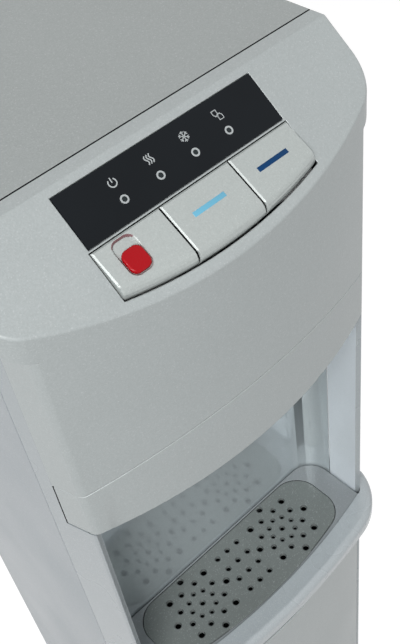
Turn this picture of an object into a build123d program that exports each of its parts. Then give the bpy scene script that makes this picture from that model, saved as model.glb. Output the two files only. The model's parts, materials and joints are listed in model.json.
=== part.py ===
from build123d import *
from math import asin, cos, degrees, radians, sin, sqrt, tan
import os

# A floor-standing water cooler: a bottle cabinet below, a dispensing niche with a drip tray above
# it, and a sloping control panel with three buttons at the top.
# Millimetres, +Z up. The origin is on the floor under the middle of the whole cooler. The front
# faces -Y, and +X is on the right of someone who stands in front of it.

# Overall size
overall_height = 1060.0
cap_width = 320.0
body_width = 306.0
body_depth = 275.0
lip_reach = 13.0
lid_overhang = 22.0

# Front of the body in plan
bow_radius = 408.0
cheek_run = 11.0
crease_round = 8.0
cheek_depth = 62.0
cap_corner_radius = 30.0
pillar_face = 5.0
pillar_chamfer = 5.0

# Walls and gaps
wall = 3.0
sheet = 1.0
shut_gap = 0.8
fit_gap = 0.3
running_gap = 0.05

# Control panel on the slope, measured down the slope from its fold
fascia_depth = 87.0
strip_run = 12.0
slope_angle = 38.66
cap_edge = 16.0
cap_skirt = 28.0
cap_round = 3.0
display_half = 80.3
display_back = 6.2
display_length = 36.6
display_thickness = 2.0
display_ledge = 3.0
board_thickness = 1.6
lamp_pitch = 28.6
lamp_count = 4
lamp_down = 29.5
lamp_radius = 2.5
button_back = 45.2
button_apex = 87.0
button_row_half = 81.0
button_gap_x = 28.4
button_front_radius = 346.0
button_front_gap = 1.3
button_rear_height = 0.8
button_front_height = 5.2
button_crest = 76.0
button_skirt = 7.0
button_wall = 2.0
button_lip_round = 7.5
button_top = 2.4
button_spare = 4.0
boss_clearance = 2.0
boss_wall = 1.0

# Child lock slider in the hot button
lock_x = -61.5
lock_width = 15.0
lock_length = 16.0
lock_front = 71.0
lock_travel = 7.0
lock_recess = 2.0
lock_proud = 1.6

# Button pivot, valves and nozzles
pivot_rod_radius = 1.5
pivot_back = 4.0
pivot_depth = 9.0
eye_width = 4.0
eye_inset = 8.0
eye_radius = 3.2
plunger_radius = 3.0
valve_from_pivot = 20.8
valve_radius = 11.0
valve_neck = 9.0
valve_top = 15.0
valve_length = 30.0
valve_bore = 13.0
plunger_length = 12.0
carrier_depth = 20.0
carrier_thickness = 2.5
carrier_lead = 1.0
nozzle_y = -89.4
nozzle_radius = 6.0
nozzle_bore = 4.2
nozzle_reach = 8.0
spigot_radius = 4.0
spigot_overlap = 12.0
spigot_length = 26.0
spigot_root = 9.0
nozzle_collar = 3.0
nozzle_chamfer = 1.0

# Arched groove and visor
groove_drop = 179.0
arch_radius = 672.0
visor_drop = 242.0
visor_reach = 50.0
visor_flange = 12.0
visor_tongue = 8.0
visor_floor = 4.0
visor_edge_round = 1.5

# Niche and drip tray
niche_back_y = -50.0
niche_corner = 26.0
niche_wall = 2.5
tray_drop = 498.0
tray_depth = 28.5
tray_floor = 2.5
tray_side_gap = 1.5
lip_height = 15.0
lip_radius = 690.0
lip_spread = 7.0
lip_corner_run = 48.0
lip_corner_rise = 41.85
lip_round = 7.0
basin_rim = 22.5
basin_back_y = -53.0
basin_front_y = -131.0
basin_front_radius = 480.0
basin_corner = 26.0
grille_thickness = 2.5
grille_sink = 1.5
grille_ledge = 4.0
rosette_radii = (12.8, 22.3, 31.5)
rosette_holes = (1.8, 2.2, 2.8)
ring_holes = 8
middle_pitch_x = 13.0
middle_pitch_y = 15.0

# Cabinet
foot_height = 20.0
foot_radius = 17.0
foot_inset = 31.0
foot_y = 98.0
base_sheet = 1.5
base_flange = 12.0
shelf_thickness = 6.0
sill_height = 10.0
door_gap = 1.0
door_thickness = 14.0
door_skin = 2.5
door_frame = 13.0
door_pin_radius = 2.5
door_pin_grip = 5.0
notch_width = 92.0
notch_depth = 18.0
bay_flange = 14.0
sill_depth = 42.0
lid_rib_x = 80.0
catch_width = 20.0
catch_depth = 11.0
catch_height = 12.0
foot_pad = 5.0
foot_stem = 8.0
platform_gap = 24.0
platform_height = 14.0
seat_radius = 105.0

# Cold side: tank in a block of foam on the upper shelf
foam_gap = 48.0
foam_front_y = -42.0
foam_back_y = 120.0
foam_height = 200.0
foam_lid = 24.0
cold_tank_radius = 66.0
cold_tank_height = 150.0
tank_sheet = 1.0
tank_round = 8.0
foam_wall = 20.0

# Hot side: tank on a stand beside the compressor, above the bottle bay
hot_x = -78.0
hot_y = 55.0
hot_radius = 52.0
hot_low = 45.0
hot_height = 200.0
hot_dome = 16.0
stand_thickness = 1.5
thermostat_radius = 7.0

# Compressor
compressor_x = 64.0
compressor_y = 52.0
compressor_radius = 62.0
compressor_height = 150.0
compressor_dome = 26.0
compressor_foot = 70.0
compressor_plate = 2.5
compressor_plate_depth = 98.0
grommet_radius = 10.0
grommet_height = 14.0
terminal_width = 46.0
terminal_depth = 15.0
terminal_height = 52.0

# Pump and control box
pump_x = 0.0
pump_y = -20.0
pump_radius = 20.0
pump_height = 52.0
barb_radius = 4.5
barb_length = 18.0
box_width = 90.0
box_depth = 34.0
box_height = 60.0

# Rear
flange = 12.0
condenser_tube = 2.5
condenser_inset = 35.0
condenser_rise = 31.8
condenser_pitch = 46.0
condenser_passes = 9
condenser_standoff = 7.0
wire = 1.5
wire_count = 15
bracket_width = 16.0
bracket_height = 22.0
drier_room = 86.0
drier_radius = 7.0
drier_length = 60.0
drier_neck = 8.0
capillary_radius = 1.5
pipe_rise = 24.0
pipe_bend = 9.0
vent_length = 44.0
vent_height = 5.0
vent_columns = 3
vent_rows = 8
vent_pitch_x = 62.0
vent_pitch_z = 13.0
switch_inset = 51.0
switch_width = 42.0
switch_height = 28.0
bezel_thickness = 3.0
rocker_pitch = 18.0
rocker_width = 13.0
rocker_height = 21.0
rocker_pivot = 3.0
rocker_pin = 1.2
rocker_tilt = 8.0
gland_x = 20.0
gland_radius = 7.0
gland_bore = 4.0
drain_radius = 8.0
drain_reach = 17.0
cap_flutes = 12

# Values that follow from the sizes above
total_depth = lip_reach + body_depth + lid_overhang
front_y = lip_reach - total_depth / 2
rear_y = front_y + body_depth
lid_rear_y = total_depth / 2
seam_y = front_y + fascia_depth
fold_y = seam_y - strip_run
side_seam_y = front_y + cheek_depth
half_body = body_width / 2
half_cap = cap_width / 2
crease_half = half_body - cheek_run
pillar_inner = crease_half - pillar_face
bow_centre_y = front_y + bow_radius
slope_rise = tan(radians(slope_angle))
visor_end_y = front_y + visor_reach
skirt_bottom = overall_height - cap_skirt
groove_top = overall_height - groove_drop
visor_bottom = overall_height - visor_drop
tray_rim = overall_height - tray_drop
tray_bottom = tray_rim - tray_depth
shelf_top = tray_bottom - fit_gap
shelf_bottom = shelf_top - shelf_thickness
base_top = foot_height + base_sheet
niche_ceiling = visor_bottom + visor_floor
nozzle_tip = visor_bottom - nozzle_reach
panel_inner = half_body - sheet
back_inner = rear_y - sheet
tank_shelf_top = niche_ceiling + niche_wall + sheet
frame_top = skirt_bottom - wall
wide = 2 * cap_width
foam_half = panel_inner - foam_gap
hot_base = shelf_bottom + hot_low
service_z = hot_base + hot_dome
condenser_half = half_body - condenser_inset
condenser_low = service_z + condenser_rise
switch_x = half_body - switch_inset


def bow_y(x):
    """Y of the bowed front at a distance x from the middle."""
    return bow_centre_y - sqrt(bow_radius**2 - x**2)


crease_y = bow_y(crease_half)


def bevel_x(y):
    """X of the bevel that runs from the crease back to the side seam."""
    return crease_half + (y - crease_y) * (half_body - crease_half) / (side_seam_y - crease_y)


def body_plan(level, back_y, inset=0.0):
    """Front of the body in plan: the bow and both bevels, closed by a line at back_y."""
    with BuildSketch(Plane.XY.offset(level)) as plan:
        with BuildLine():
            bow = ThreePointArc((-crease_half, crease_y), (0, front_y), (crease_half, crease_y))
            back = Line((bevel_x(back_y), back_y), (-bevel_x(back_y), back_y))
            Line(bow @ 1, back @ 0)
            Line(back @ 1, bow @ 0)
        make_face()
        fillet(plan.vertices().group_by(Axis.Y)[0], radius=crease_round)
        if inset:
            offset(amount=-inset, kind=Kind.INTERSECTION, mode=Mode.REPLACE)
    return plan.sketch


def cap_plan(level, back_y):
    """Front of the cap in plan: the same bow with round corners, wider than the body."""
    with BuildSketch(Plane.XY.offset(level)) as plan:
        with BuildLine():
            bow = ThreePointArc((-half_cap, bow_y(half_cap)), (0, front_y), (half_cap, bow_y(half_cap)))
            Polyline(bow @ 1, (half_cap, back_y), (-half_cap, back_y), bow @ 0)
        make_face()
        fillet(plan.vertices().group_by(Axis.Y)[0], radius=cap_corner_radius)
    return plan.sketch


def block(low_x, high_x, low_y, high_y, low_z, high_z, mode=Mode.ADD):
    """A plain block between two corners, joined to or cut from the open part."""
    with Locations(((low_x + high_x) / 2, (low_y + high_y) / 2, (low_z + high_z) / 2)):
        Box(high_x - low_x, high_y - low_y, high_z - low_z, mode=mode)


def cut_above_slope(depth):
    """Cut the open part off above a plane that lies this deep under the slope."""
    with BuildSketch(cross) as over:
        with Locations((0, -depth)):
            Rectangle(2 * slope_reach, slope_reach, align=(Align.CENTER, Align.MIN))
    extrude(over.sketch, amount=wide, both=True, mode=Mode.SUBTRACT)


def write(piece, name):
    """Label a finished piece and write its file."""
    piece.part.label = name
    export_step(piece.part, f"parts/{name}.step")


os.makedirs("parts", exist_ok=True)

# The slope's own planes: on the slope, x is the cooler's X and y runs up the slope. On the cross
# plane, x runs down the slope from the fold and y stands off it.
slope_down = Vector(0, -cos(radians(slope_angle)), -sin(radians(slope_angle)))
slope_out = Vector(0, -sin(radians(slope_angle)), cos(radians(slope_angle)))
fold = Vector(0, fold_y, overall_height)
slope = Plane(origin=fold, x_dir=(1, 0, 0), z_dir=slope_out)
cross = Plane(origin=fold, x_dir=slope_down, z_dir=(-1, 0, 0))
slope_reach = (fold_y - front_y + wall) / cos(radians(slope_angle))


def button_front(x):
    """Distance down the slope of the button row's bowed front."""
    return button_apex - button_front_radius + sqrt(button_front_radius**2 - x**2)


def button_plan(level, low_x, high_x, back, grow=0.0):
    """Plan of a button, or of the whole row, on the slope."""
    with BuildSketch(slope.offset(level)) as plan:
        with BuildLine():
            middle = (low_x + high_x) / 2
            front = ThreePointArc(
                (low_x, -button_front(low_x) - grow),
                (middle, -button_front(middle) - grow),
                (high_x, -button_front(high_x) - grow),
            )
            Polyline(front @ 1, (high_x, -back), (low_x, -back), front @ 0)
        make_face()
    return plan.sketch


# Control fascia: a cap that follows the strip and the slope, and the bowed front below it
with BuildPart() as fascia_hollow:
    extrude(body_plan(0, side_seam_y, wall), amount=overall_height - wall)
    block(-half_body + wall, half_body - wall, side_seam_y - flange, seam_y + wall, 0, overall_height - wall)
    cut_above_slope(wall)

with BuildPart() as front_face:
    face_low = groove_top - arch_radius + sqrt(arch_radius**2 - half_body**2) - wall
    extrude(body_plan(face_low, visor_end_y - shut_gap), amount=overall_height - face_low)
    cut_above_slope(cap_edge / 2)

with BuildPart() as control_fascia:
    extrude(cap_plan(0, seam_y), amount=overall_height)
    with BuildSketch(Plane.YZ) as edge_profile:
        with BuildLine():
            low = overall_height - (fold_y - front_y + wall) * slope_rise
            drop = cap_edge / cos(radians(slope_angle))
            skirt_y = fold_y - (cap_skirt - drop) / slope_rise
            Polyline(
                (seam_y, overall_height),
                (fold_y, overall_height),
                (front_y - wall, low),
                (front_y - wall, low - drop),
                (skirt_y, skirt_bottom),
                (seam_y, skirt_bottom),
                close=True,
            )
        make_face()
    extrude(amount=wide, both=True, mode=Mode.INTERSECT)
    top_faces = control_fascia.faces().filter_by(Plane.XY).sort_by(Axis.Z)[-1:]
    top_faces += control_fascia.faces().filter_by(slope).sort_by(Axis.Z)[-1:]
    rim = [e for e in top_faces.edges() if e.center().Y < seam_y - shut_gap and abs(e.center().X) > 1]
    front_rim = top_faces.edges().sort_by(Axis.Y)[0]
    fillet(rim + [front_rim], radius=cap_round)
    add(front_face.part)
    add(fascia_hollow.part, mode=Mode.SUBTRACT)
    with Locations(Location((0, 0, groove_top - arch_radius), (90, 0, 0))):
        Cylinder(radius=arch_radius, height=wide, mode=Mode.SUBTRACT)
    display_middle = -display_back - display_length / 2
    with BuildSketch(slope) as window_seat:
        with Locations((0, display_middle)):
            Rectangle(2 * display_half + 2 * fit_gap, display_length + 2 * fit_gap)
    extrude(amount=-display_thickness, mode=Mode.SUBTRACT)
    with BuildSketch(slope) as window_hole:
        with Locations((0, display_middle)):
            Rectangle(2 * (display_half - display_ledge), display_length - 2 * display_ledge)
    extrude(amount=-2 * wall, mode=Mode.SUBTRACT)
    well_half = button_row_half + shut_gap
    well = button_plan(0, -well_half, well_half, button_back - shut_gap, button_front_gap)
    extrude(well, amount=-2 * wall, mode=Mode.SUBTRACT)
write(control_fascia, "control_fascia")

with BuildPart() as display_window:
    with BuildSketch(slope.offset(-display_thickness)) as pane:
        with Locations((0, display_middle)):
            Rectangle(2 * display_half, display_length)
    extrude(amount=display_thickness)
    chamfer(display_window.faces().sort_by(Axis.Z)[-1].edges(), length=fit_gap)
write(display_window, "display_window")

# Lamp board behind the window, with one lamp under each ring
board_top = -wall - fit_gap
with BuildPart() as display_board:
    with BuildSketch(slope.offset(board_top - board_thickness)) as board:
        with Locations((0, display_middle)):
            Rectangle(2 * display_half, display_length)
    extrude(amount=board_thickness)
    with BuildSketch(slope.offset(board_top)) as lamps:
        with Locations((0, -lamp_down)):
            with GridLocations(lamp_pitch, 1, lamp_count, 1):
                Circle(lamp_radius)
    extrude(amount=wall - display_thickness)
write(display_board, "display_board")

# Buttons: a ramp that rises to a rounded front lip, hollow below, with two eyes on the pivot rod
pivot_s = button_back + pivot_back
pivot = fold + slope_down * pivot_s - slope_out * pivot_depth
valve_s = pivot_s + valve_from_pivot
ramp_angle = degrees(asin((button_front_height - button_rear_height) / (button_crest - button_back)))
boss_bottom = valve_top - button_wall - fit_gap - boss_clearance
button_edges = {
    "hot": (-button_row_half, -button_gap_x - shut_gap / 2),
    "room": (-button_gap_x + shut_gap / 2, button_gap_x - shut_gap / 2),
    "cold": (button_gap_x + shut_gap / 2, button_row_half),
}
ramp = Plane(
    origin=fold + slope_down * button_back + slope_out * button_rear_height,
    x_dir=(1, 0, 0),
    z_dir=slope_out.rotate(Axis.X, -ramp_angle),
)
lock_middle = lock_front - lock_length / 2 - button_back


def build_button(low_x, high_x, with_lock):
    """One push button of the row, with the slot of the child lock where it has one."""
    middle_x = (low_x + high_x) / 2
    tall = button_front_height + button_spare
    with BuildPart() as button:
        extrude(button_plan(-button_skirt, low_x, high_x, button_back), amount=button_skirt + tall)
        with BuildSketch(Plane(ramp.origin, x_dir=ramp.x_dir, z_dir=ramp.z_dir)) as over:
            Rectangle(wide, wide)
        extrude(amount=wide, mode=Mode.SUBTRACT)
        lip_edge = button.edges().filter_by(GeomType.LINE, reverse=True).sort_by(Axis.Y)[0]
        fillet(lip_edge, radius=button_lip_round)
        hollow = button_plan(
            -button_skirt,
            low_x + button_wall,
            high_x - button_wall,
            button_back + button_wall,
            -2 * button_wall,
        )
        extrude(hollow, amount=button_skirt - button_top, mode=Mode.SUBTRACT)
        for eye_x in (low_x + eye_inset, high_x - eye_inset):
            with BuildSketch(cross.offset(-eye_x - eye_width / 2)) as eye:
                with Locations((pivot_s, -pivot_depth)):
                    Circle(eye_radius)
                with Locations((pivot_s, -pivot_depth / 2 - button_top / 2)):
                    Rectangle(2 * eye_radius, pivot_depth - button_top)
            extrude(amount=eye_width)
            with BuildSketch(cross.offset(-eye_x - eye_width)) as eye_bore:
                with Locations((pivot_s, -pivot_depth)):
                    Circle(pivot_rod_radius + running_gap)
            extrude(amount=2 * eye_width, mode=Mode.SUBTRACT)
        with BuildSketch(slope.offset(-boss_bottom)) as boss:
            with Locations((middle_x, -valve_s)):
                Circle(plunger_radius + boss_wall)
        extrude(amount=boss_bottom - button_top)
        if with_lock:
            with BuildSketch(ramp) as slot:
                with Locations((lock_x, -lock_middle + lock_travel / 2)):
                    RectangleRounded(
                        lock_width + 2 * fit_gap, lock_length + lock_travel + 2 * fit_gap, lock_width / 3
                    )
            extrude(amount=-lock_recess, mode=Mode.SUBTRACT)
    return button


for name, (low_x, high_x) in button_edges.items():
    write(build_button(low_x, high_x, name == "hot"), f"button_{name}")

with BuildPart() as child_lock_slider:
    with BuildSketch(ramp.offset(-lock_recess)) as key:
        with Locations((lock_x, -lock_middle)):
            RectangleRounded(lock_width, lock_length, lock_width / 3)
    extrude(amount=lock_recess + lock_proud)
    fillet(child_lock_slider.faces().sort_by(Axis.Z)[-1].edges(), radius=lock_proud * 0.8)
write(child_lock_slider, "child_lock_slider")

# Pivot rod, and the carrier under the buttons that holds the rod and the valves
rod_half = button_row_half + eye_inset
with BuildPart() as button_pivot_rod:
    with BuildSketch(cross.offset(-rod_half)) as rod:
        with Locations((pivot_s, -pivot_depth)):
            Circle(pivot_rod_radius)
    extrude(amount=2 * rod_half)
write(button_pivot_rod, "button_pivot_rod")

carrier_back = button_back - carrier_lead
carrier_front = valve_s + valve_radius + wall
with BuildPart() as button_carrier:
    with BuildSketch(slope.offset(-carrier_depth - carrier_thickness)) as plate:
        with Locations((0, -(carrier_back + carrier_front) / 2)):
            Rectangle(2 * rod_half, carrier_front - carrier_back)
    extrude(amount=carrier_thickness)
    for side in (-1, 1):
        with BuildSketch(cross.offset(side * rod_half - (wall if side > 0 else 0))) as ear:
            with Locations((pivot_s, -carrier_depth)):
                Rectangle(3 * eye_radius, carrier_depth - wall, align=(Align.CENTER, Align.MIN))
        extrude(amount=wall)
    with BuildSketch(cross.offset(-rod_half - wall)) as rod_seat:
        with Locations((pivot_s, -pivot_depth)):
            Circle(pivot_rod_radius + running_gap)
    extrude(amount=2 * rod_half + 2 * wall, mode=Mode.SUBTRACT)
    with BuildSketch(slope.offset(-carrier_depth - carrier_thickness)) as valve_holes:
        for low_x, high_x in button_edges.values():
            with Locations(((low_x + high_x) / 2, -valve_s)):
                Circle(valve_neck + running_gap)
    extrude(amount=carrier_thickness, mode=Mode.SUBTRACT)
write(button_carrier, "button_carrier")

# Valves with their plungers, and the nozzles under them
valve_end = fold + slope_down * valve_s - slope_out * (valve_top + valve_length)
for name, (low_x, high_x) in button_edges.items():
    middle_x = (low_x + high_x) / 2
    with BuildPart() as plunger:
        with BuildSketch(slope.offset(-boss_bottom - fit_gap - plunger_length)) as stem:
            with Locations((middle_x, -valve_s)):
                Circle(plunger_radius)
        extrude(amount=plunger_length)
        chamfer(plunger.faces().sort_by(Axis.Z)[-1].edges(), length=fit_gap)
    write(plunger, f"plunger_{name}")
    with BuildPart() as valve:
        with BuildSketch(slope.offset(-valve_top - valve_length)) as body:
            with Locations((middle_x, -valve_s)):
                Circle(valve_radius)
        extrude(amount=valve_length - (carrier_depth + carrier_thickness - valve_top))
        with BuildSketch(slope.offset(-carrier_depth - carrier_thickness)) as neck:
            with Locations((middle_x, -valve_s)):
                Circle(valve_neck)
        extrude(amount=carrier_depth + carrier_thickness - valve_top)
        with BuildSketch(slope.offset(-valve_top)) as bore:
            with Locations((middle_x, -valve_s)):
                Circle(plunger_radius + running_gap)
        extrude(amount=-valve_bore, mode=Mode.SUBTRACT)
        with Locations((middle_x, nozzle_y, valve_end.Z + spigot_root)):
            Cylinder(spigot_radius, spigot_length, align=(Align.CENTER, Align.CENTER, Align.MAX))
    write(valve, f"valve_{name}")
    spigot_tip = valve_end.Z + spigot_root - spigot_length
    with BuildPart() as nozzle:
        with Locations((middle_x, nozzle_y, nozzle_tip)):
            Cylinder(
                nozzle_radius,
                spigot_tip + spigot_overlap - nozzle_tip,
                align=(Align.CENTER, Align.CENTER, Align.MIN),
            )
        with Locations((middle_x, nozzle_y, niche_ceiling + niche_wall)):
            Cylinder(nozzle_radius + nozzle_collar, wall, align=(Align.CENTER, Align.CENTER, Align.MIN))
        with Locations((middle_x, nozzle_y, nozzle_tip)):
            Cylinder(
                nozzle_bore,
                spigot_tip + spigot_overlap - nozzle_tip,
                align=(Align.CENTER, Align.CENTER, Align.MIN),
                mode=Mode.SUBTRACT,
            )
        chamfer(nozzle.faces().sort_by(Axis.Z)[0].outer_wire().edges(), length=nozzle_chamfer)
    write(nozzle, f"nozzle_{name}")

# Visor under the arched groove, with a tongue behind the fascia and a flange at its bottom edge
visor_tall = groove_top - visor_bottom
arch_sides = groove_top - arch_radius + sqrt(arch_radius**2 - half_body**2)
tongue_low = arch_sides - 2 * visor_tongue
with BuildPart() as tongue_root:
    extrude(body_plan(tongue_low, visor_end_y - shut_gap, wall / 2), amount=visor_tongue)

with BuildPart() as visor_rim:
    tongue_tall = groove_top + visor_tongue - tongue_low
    extrude(body_plan(tongue_low, visor_end_y - shut_gap, wall + fit_gap), amount=tongue_tall)
    add(tongue_root.part)
    extrude(body_plan(tongue_low, visor_end_y + 2 * wall, 2 * wall), amount=tongue_tall, mode=Mode.SUBTRACT)
    tongue_high = tongue_low + tongue_tall
    block(-crease_half, crease_half, front_y, crease_y + wall, tongue_low, tongue_high, Mode.INTERSECT)

with BuildPart() as visor_base:
    extrude(body_plan(visor_bottom, visor_end_y - shut_gap), amount=niche_ceiling - visor_bottom)
    inner_floor = body_plan(visor_bottom, visor_end_y + 2 * visor_flange, visor_flange)
    extrude(inner_floor, amount=niche_ceiling - visor_bottom, mode=Mode.SUBTRACT)
    bottom_edges = visor_base.faces().sort_by(Axis.Z)[0].outer_wire().edges()
    fillet(bottom_edges.filter_by(GeomType.CIRCLE), radius=visor_edge_round)

with BuildPart() as nozzle_visor:
    shell_low = niche_ceiling - sheet
    extrude(body_plan(shell_low, visor_end_y - shut_gap), amount=visor_tall)
    extrude(body_plan(shell_low, visor_end_y + 2 * wall, wall), amount=visor_tall, mode=Mode.SUBTRACT)
    with Locations(Location((0, 0, groove_top - arch_radius), (90, 0, 0))):
        Cylinder(radius=arch_radius - shut_gap, height=wide, mode=Mode.INTERSECT)
    add(visor_base.part)
    add(visor_rim.part)
write(nozzle_visor, "nozzle_visor")

# Front frame: two bevelled pillars from base to cap, the tray shelf and the door sill
sill_back_y = front_y + sill_depth
with BuildPart() as cross_members:
    extrude(body_plan(shelf_bottom, niche_back_y, sheet), amount=shelf_thickness)
    extrude(body_plan(base_top, sill_back_y, sheet), amount=sill_height)
    member_half = pillar_inner + wall
    block(-member_half, member_half, front_y, niche_back_y, 0, overall_height, Mode.INTERSECT)

visor_room = visor_bottom - shut_gap
with BuildPart() as pillar_edges:
    post_reach = pillar_inner + pillar_chamfer + wall
    extrude(body_plan(base_top, crease_y + 2 * wall), amount=visor_room - base_top)
    block(-post_reach, post_reach, front_y, side_seam_y, base_top, visor_room, Mode.INTERSECT)
    block(-pillar_inner, pillar_inner, front_y, side_seam_y, base_top, visor_room, Mode.SUBTRACT)
    chamfer(pillar_edges.edges().filter_by(Axis.Z).group_by(Axis.Y)[0], length=pillar_chamfer)

pin_x = pillar_inner - door_gap - door_thickness / 2
pin_y = bow_centre_y - sqrt((bow_radius - door_thickness / 2) ** 2 - pin_x**2)
with BuildPart() as front_frame:
    frame_tall = overall_height - base_top
    extrude(body_plan(base_top, side_seam_y), amount=frame_tall)
    extrude(body_plan(base_top, side_seam_y + 2 * wall, wall), amount=frame_tall, mode=Mode.SUBTRACT)
    bare_half = post_reach - wall / 2
    block(-bare_half, bare_half, front_y - wall, side_seam_y, base_top, overall_height, Mode.SUBTRACT)
    block(-wide, wide, front_y - wall, visor_end_y, visor_room, overall_height, Mode.SUBTRACT)
    cut_above_slope(cap_edge + fit_gap)
    skirt_room = skirt_bottom - fit_gap
    block(-wide, wide, visor_end_y - wall, seam_y, skirt_room, overall_height, Mode.SUBTRACT)
    add(pillar_edges.part)
    for side in (-1, 1):
        near = side * pillar_inner
        far = side * (pillar_inner + niche_wall)
        block(min(near, far), max(near, far), crease_y + wall, side_seam_y, base_top, visor_room)
    add(cross_members.part)
    with Locations((pin_x, pin_y, shelf_bottom), (pin_x, pin_y, base_top)):
        Cylinder(door_pin_radius + running_gap, 3 * sill_height, mode=Mode.SUBTRACT)
write(front_frame, "front_frame")

# Niche liner: a glossy tub wall with round rear corners and a ceiling for the nozzles
tub_front = side_seam_y + shut_gap


def tub_plan(thickness):
    """Plan of the niche's tub: a rectangle with round rear corners, grown by its wall."""
    with BuildSketch(Plane.XY.offset(shelf_top)) as tub:
        with Locations((0, niche_back_y + thickness)):
            deep = niche_back_y + thickness - tub_front
            Rectangle(2 * (pillar_inner + thickness), deep, align=(Align.CENTER, Align.MAX))
        fillet(tub.vertices().group_by(Axis.Y)[-1], radius=niche_corner + thickness)
    return tub.sketch


with BuildPart() as niche_ceiling_plate:
    extrude(body_plan(niche_ceiling, niche_back_y + niche_wall, wall + fit_gap), amount=niche_wall)
    tub_half = pillar_inner + niche_wall
    tub_back = niche_back_y + niche_wall
    block(-tub_half, tub_half, front_y, tub_back, niche_ceiling, tank_shelf_top, Mode.INTERSECT)
    for low_x, high_x in button_edges.values():
        with Locations(((low_x + high_x) / 2, nozzle_y, niche_ceiling)):
            Cylinder(nozzle_radius + fit_gap, wide, mode=Mode.SUBTRACT)

with BuildPart() as niche_liner:
    extrude(tub_plan(niche_wall), amount=niche_ceiling - shelf_top)
    extrude(tub_plan(0), amount=niche_ceiling - shelf_top, mode=Mode.SUBTRACT)
    add(niche_ceiling_plate.part)
write(niche_liner, "niche_liner")

# Drip tray: a basin between the pillars with a bowed lip in front of them
tray_half = pillar_inner - tray_side_gap
basin_half = tray_half - basin_rim
tray_back_y = niche_back_y - tray_side_gap
lip_front_y = front_y - lip_reach
lip_half = half_body + lip_spread
lip_straight = lip_half - lip_corner_run
lip_side_y = lip_front_y + lip_radius - sqrt(lip_radius**2 - lip_straight**2)
lip_end_y = lip_side_y + lip_corner_rise
with BuildPart() as pillar_room:
    extrude(body_plan(tray_bottom, side_seam_y + wall, -fit_gap), amount=tray_depth)
    block(-tray_half, tray_half, lip_front_y, side_seam_y + flange, tray_bottom, tray_rim, Mode.SUBTRACT)

with BuildPart() as tray_lip:
    with BuildSketch(Plane.XY.offset(tray_rim - lip_height)) as lip_shape:
        with BuildLine():
            nose = ThreePointArc((-lip_straight, lip_side_y), (0, lip_front_y), (lip_straight, lip_side_y))
            right = TangentArc(nose @ 1, (lip_half, lip_end_y), tangent=nose % 1)
            left = TangentArc(nose @ 0, (-lip_half, lip_end_y), tangent=(nose % 0) * -1)
            inner_x = half_body - wall
            Polyline(right @ 1, (inner_x, side_seam_y - wall), (-inner_x, side_seam_y - wall), left @ 1)
        make_face()
    extrude(amount=lip_height)
    rim_edges = tray_lip.faces().sort_by(Axis.Z)[-1].edges()
    fillet([e for e in rim_edges if e.center().Y < lip_end_y], radius=lip_round)
    add(pillar_room.part, mode=Mode.SUBTRACT)

with BuildPart() as drip_tray:
    with BuildSketch(Plane.XY.offset(tray_bottom)) as tub:
        with Locations((0, tray_back_y)):
            Rectangle(2 * tray_half, tray_back_y - bow_y(tray_half), align=(Align.CENTER, Align.MAX))
        fillet(tub.vertices().group_by(Axis.Y)[-1], radius=niche_corner - tray_side_gap)
    extrude(amount=tray_depth)
    add(tray_lip.part)
    with BuildSketch(Plane.XY.offset(tray_rim)) as seat:
        with BuildLine():
            sag = basin_front_y + basin_front_radius - sqrt(basin_front_radius**2 - basin_half**2)
            edge = ThreePointArc((-basin_half, sag), (0, basin_front_y), (basin_half, sag))
            Polyline(edge @ 1, (basin_half, basin_back_y), (-basin_half, basin_back_y), edge @ 0)
        make_face()
        fillet(seat.vertices(), radius=basin_corner)
    grille_seat = seat.sketch
    extrude(amount=-grille_thickness - grille_sink, mode=Mode.SUBTRACT)
    with BuildSketch(Plane.XY.offset(tray_rim)) as sump:
        add(grille_seat)
        offset(amount=-grille_ledge, kind=Kind.INTERSECTION, mode=Mode.REPLACE)
    extrude(amount=-tray_depth + tray_floor, mode=Mode.SUBTRACT)
write(drip_tray, "drip_tray")

# Grille: two rosettes of holes under the outer nozzles and a block of holes between them
rosette_x = (button_gap_x + button_row_half) / 2
rosette_y = nozzle_y
hole_radius = rosette_holes[1]
with BuildPart() as drip_grille:
    with BuildSketch(Plane.XY.offset(tray_rim - grille_sink - grille_thickness)) as plate:
        add(Location((0, 0, -grille_sink - grille_thickness)) * grille_seat)
        offset(amount=-fit_gap, kind=Kind.INTERSECTION, mode=Mode.REPLACE)
        for side in (-1, 1):
            with Locations((side * rosette_x, rosette_y)):
                Circle(hole_radius, mode=Mode.SUBTRACT)
                for ring in range(len(rosette_radii)):
                    half_step = 180 / ring_holes * (ring % 2)
                    with PolarLocations(rosette_radii[ring], ring_holes, start_angle=half_step):
                        Circle(rosette_holes[ring], mode=Mode.SUBTRACT)
        with Locations((0, rosette_y)):
            with GridLocations(middle_pitch_x, middle_pitch_y, 3, 4):
                Circle(hole_radius, mode=Mode.SUBTRACT)
    extrude(amount=grille_thickness)
write(drip_grille, "drip_grille")

# Side panels: sheet steel with a flange at the front, rear and bottom
for side, name in ((-1, "side_panel_left"), (1, "side_panel_right")):
    with BuildPart() as side_panel:
        panel_front = side_seam_y + shut_gap
        x_out = side * half_body
        x_in = side * panel_inner
        x_flange = side * (half_body - flange)
        with BuildSketch(Plane.YZ.offset(min(x_out, x_in))) as skin:
            with BuildLine():
                Polyline(
                    (panel_front, base_top),
                    (rear_y, base_top),
                    (rear_y, overall_height - wall),
                    (seam_y + 2 * wall, overall_height - wall),
                    (seam_y + 2 * wall, frame_top),
                    (panel_front, frame_top),
                    close=True,
                )
            make_face()
        extrude(amount=sheet)
        low_x = min(x_flange, x_in)
        high_x = max(x_flange, x_in)
        block(low_x, high_x, panel_front, panel_front + sheet, base_top, frame_top)
        block(low_x, high_x, back_inner - sheet, back_inner, base_top, overall_height - wall)
    write(side_panel, name)

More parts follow.
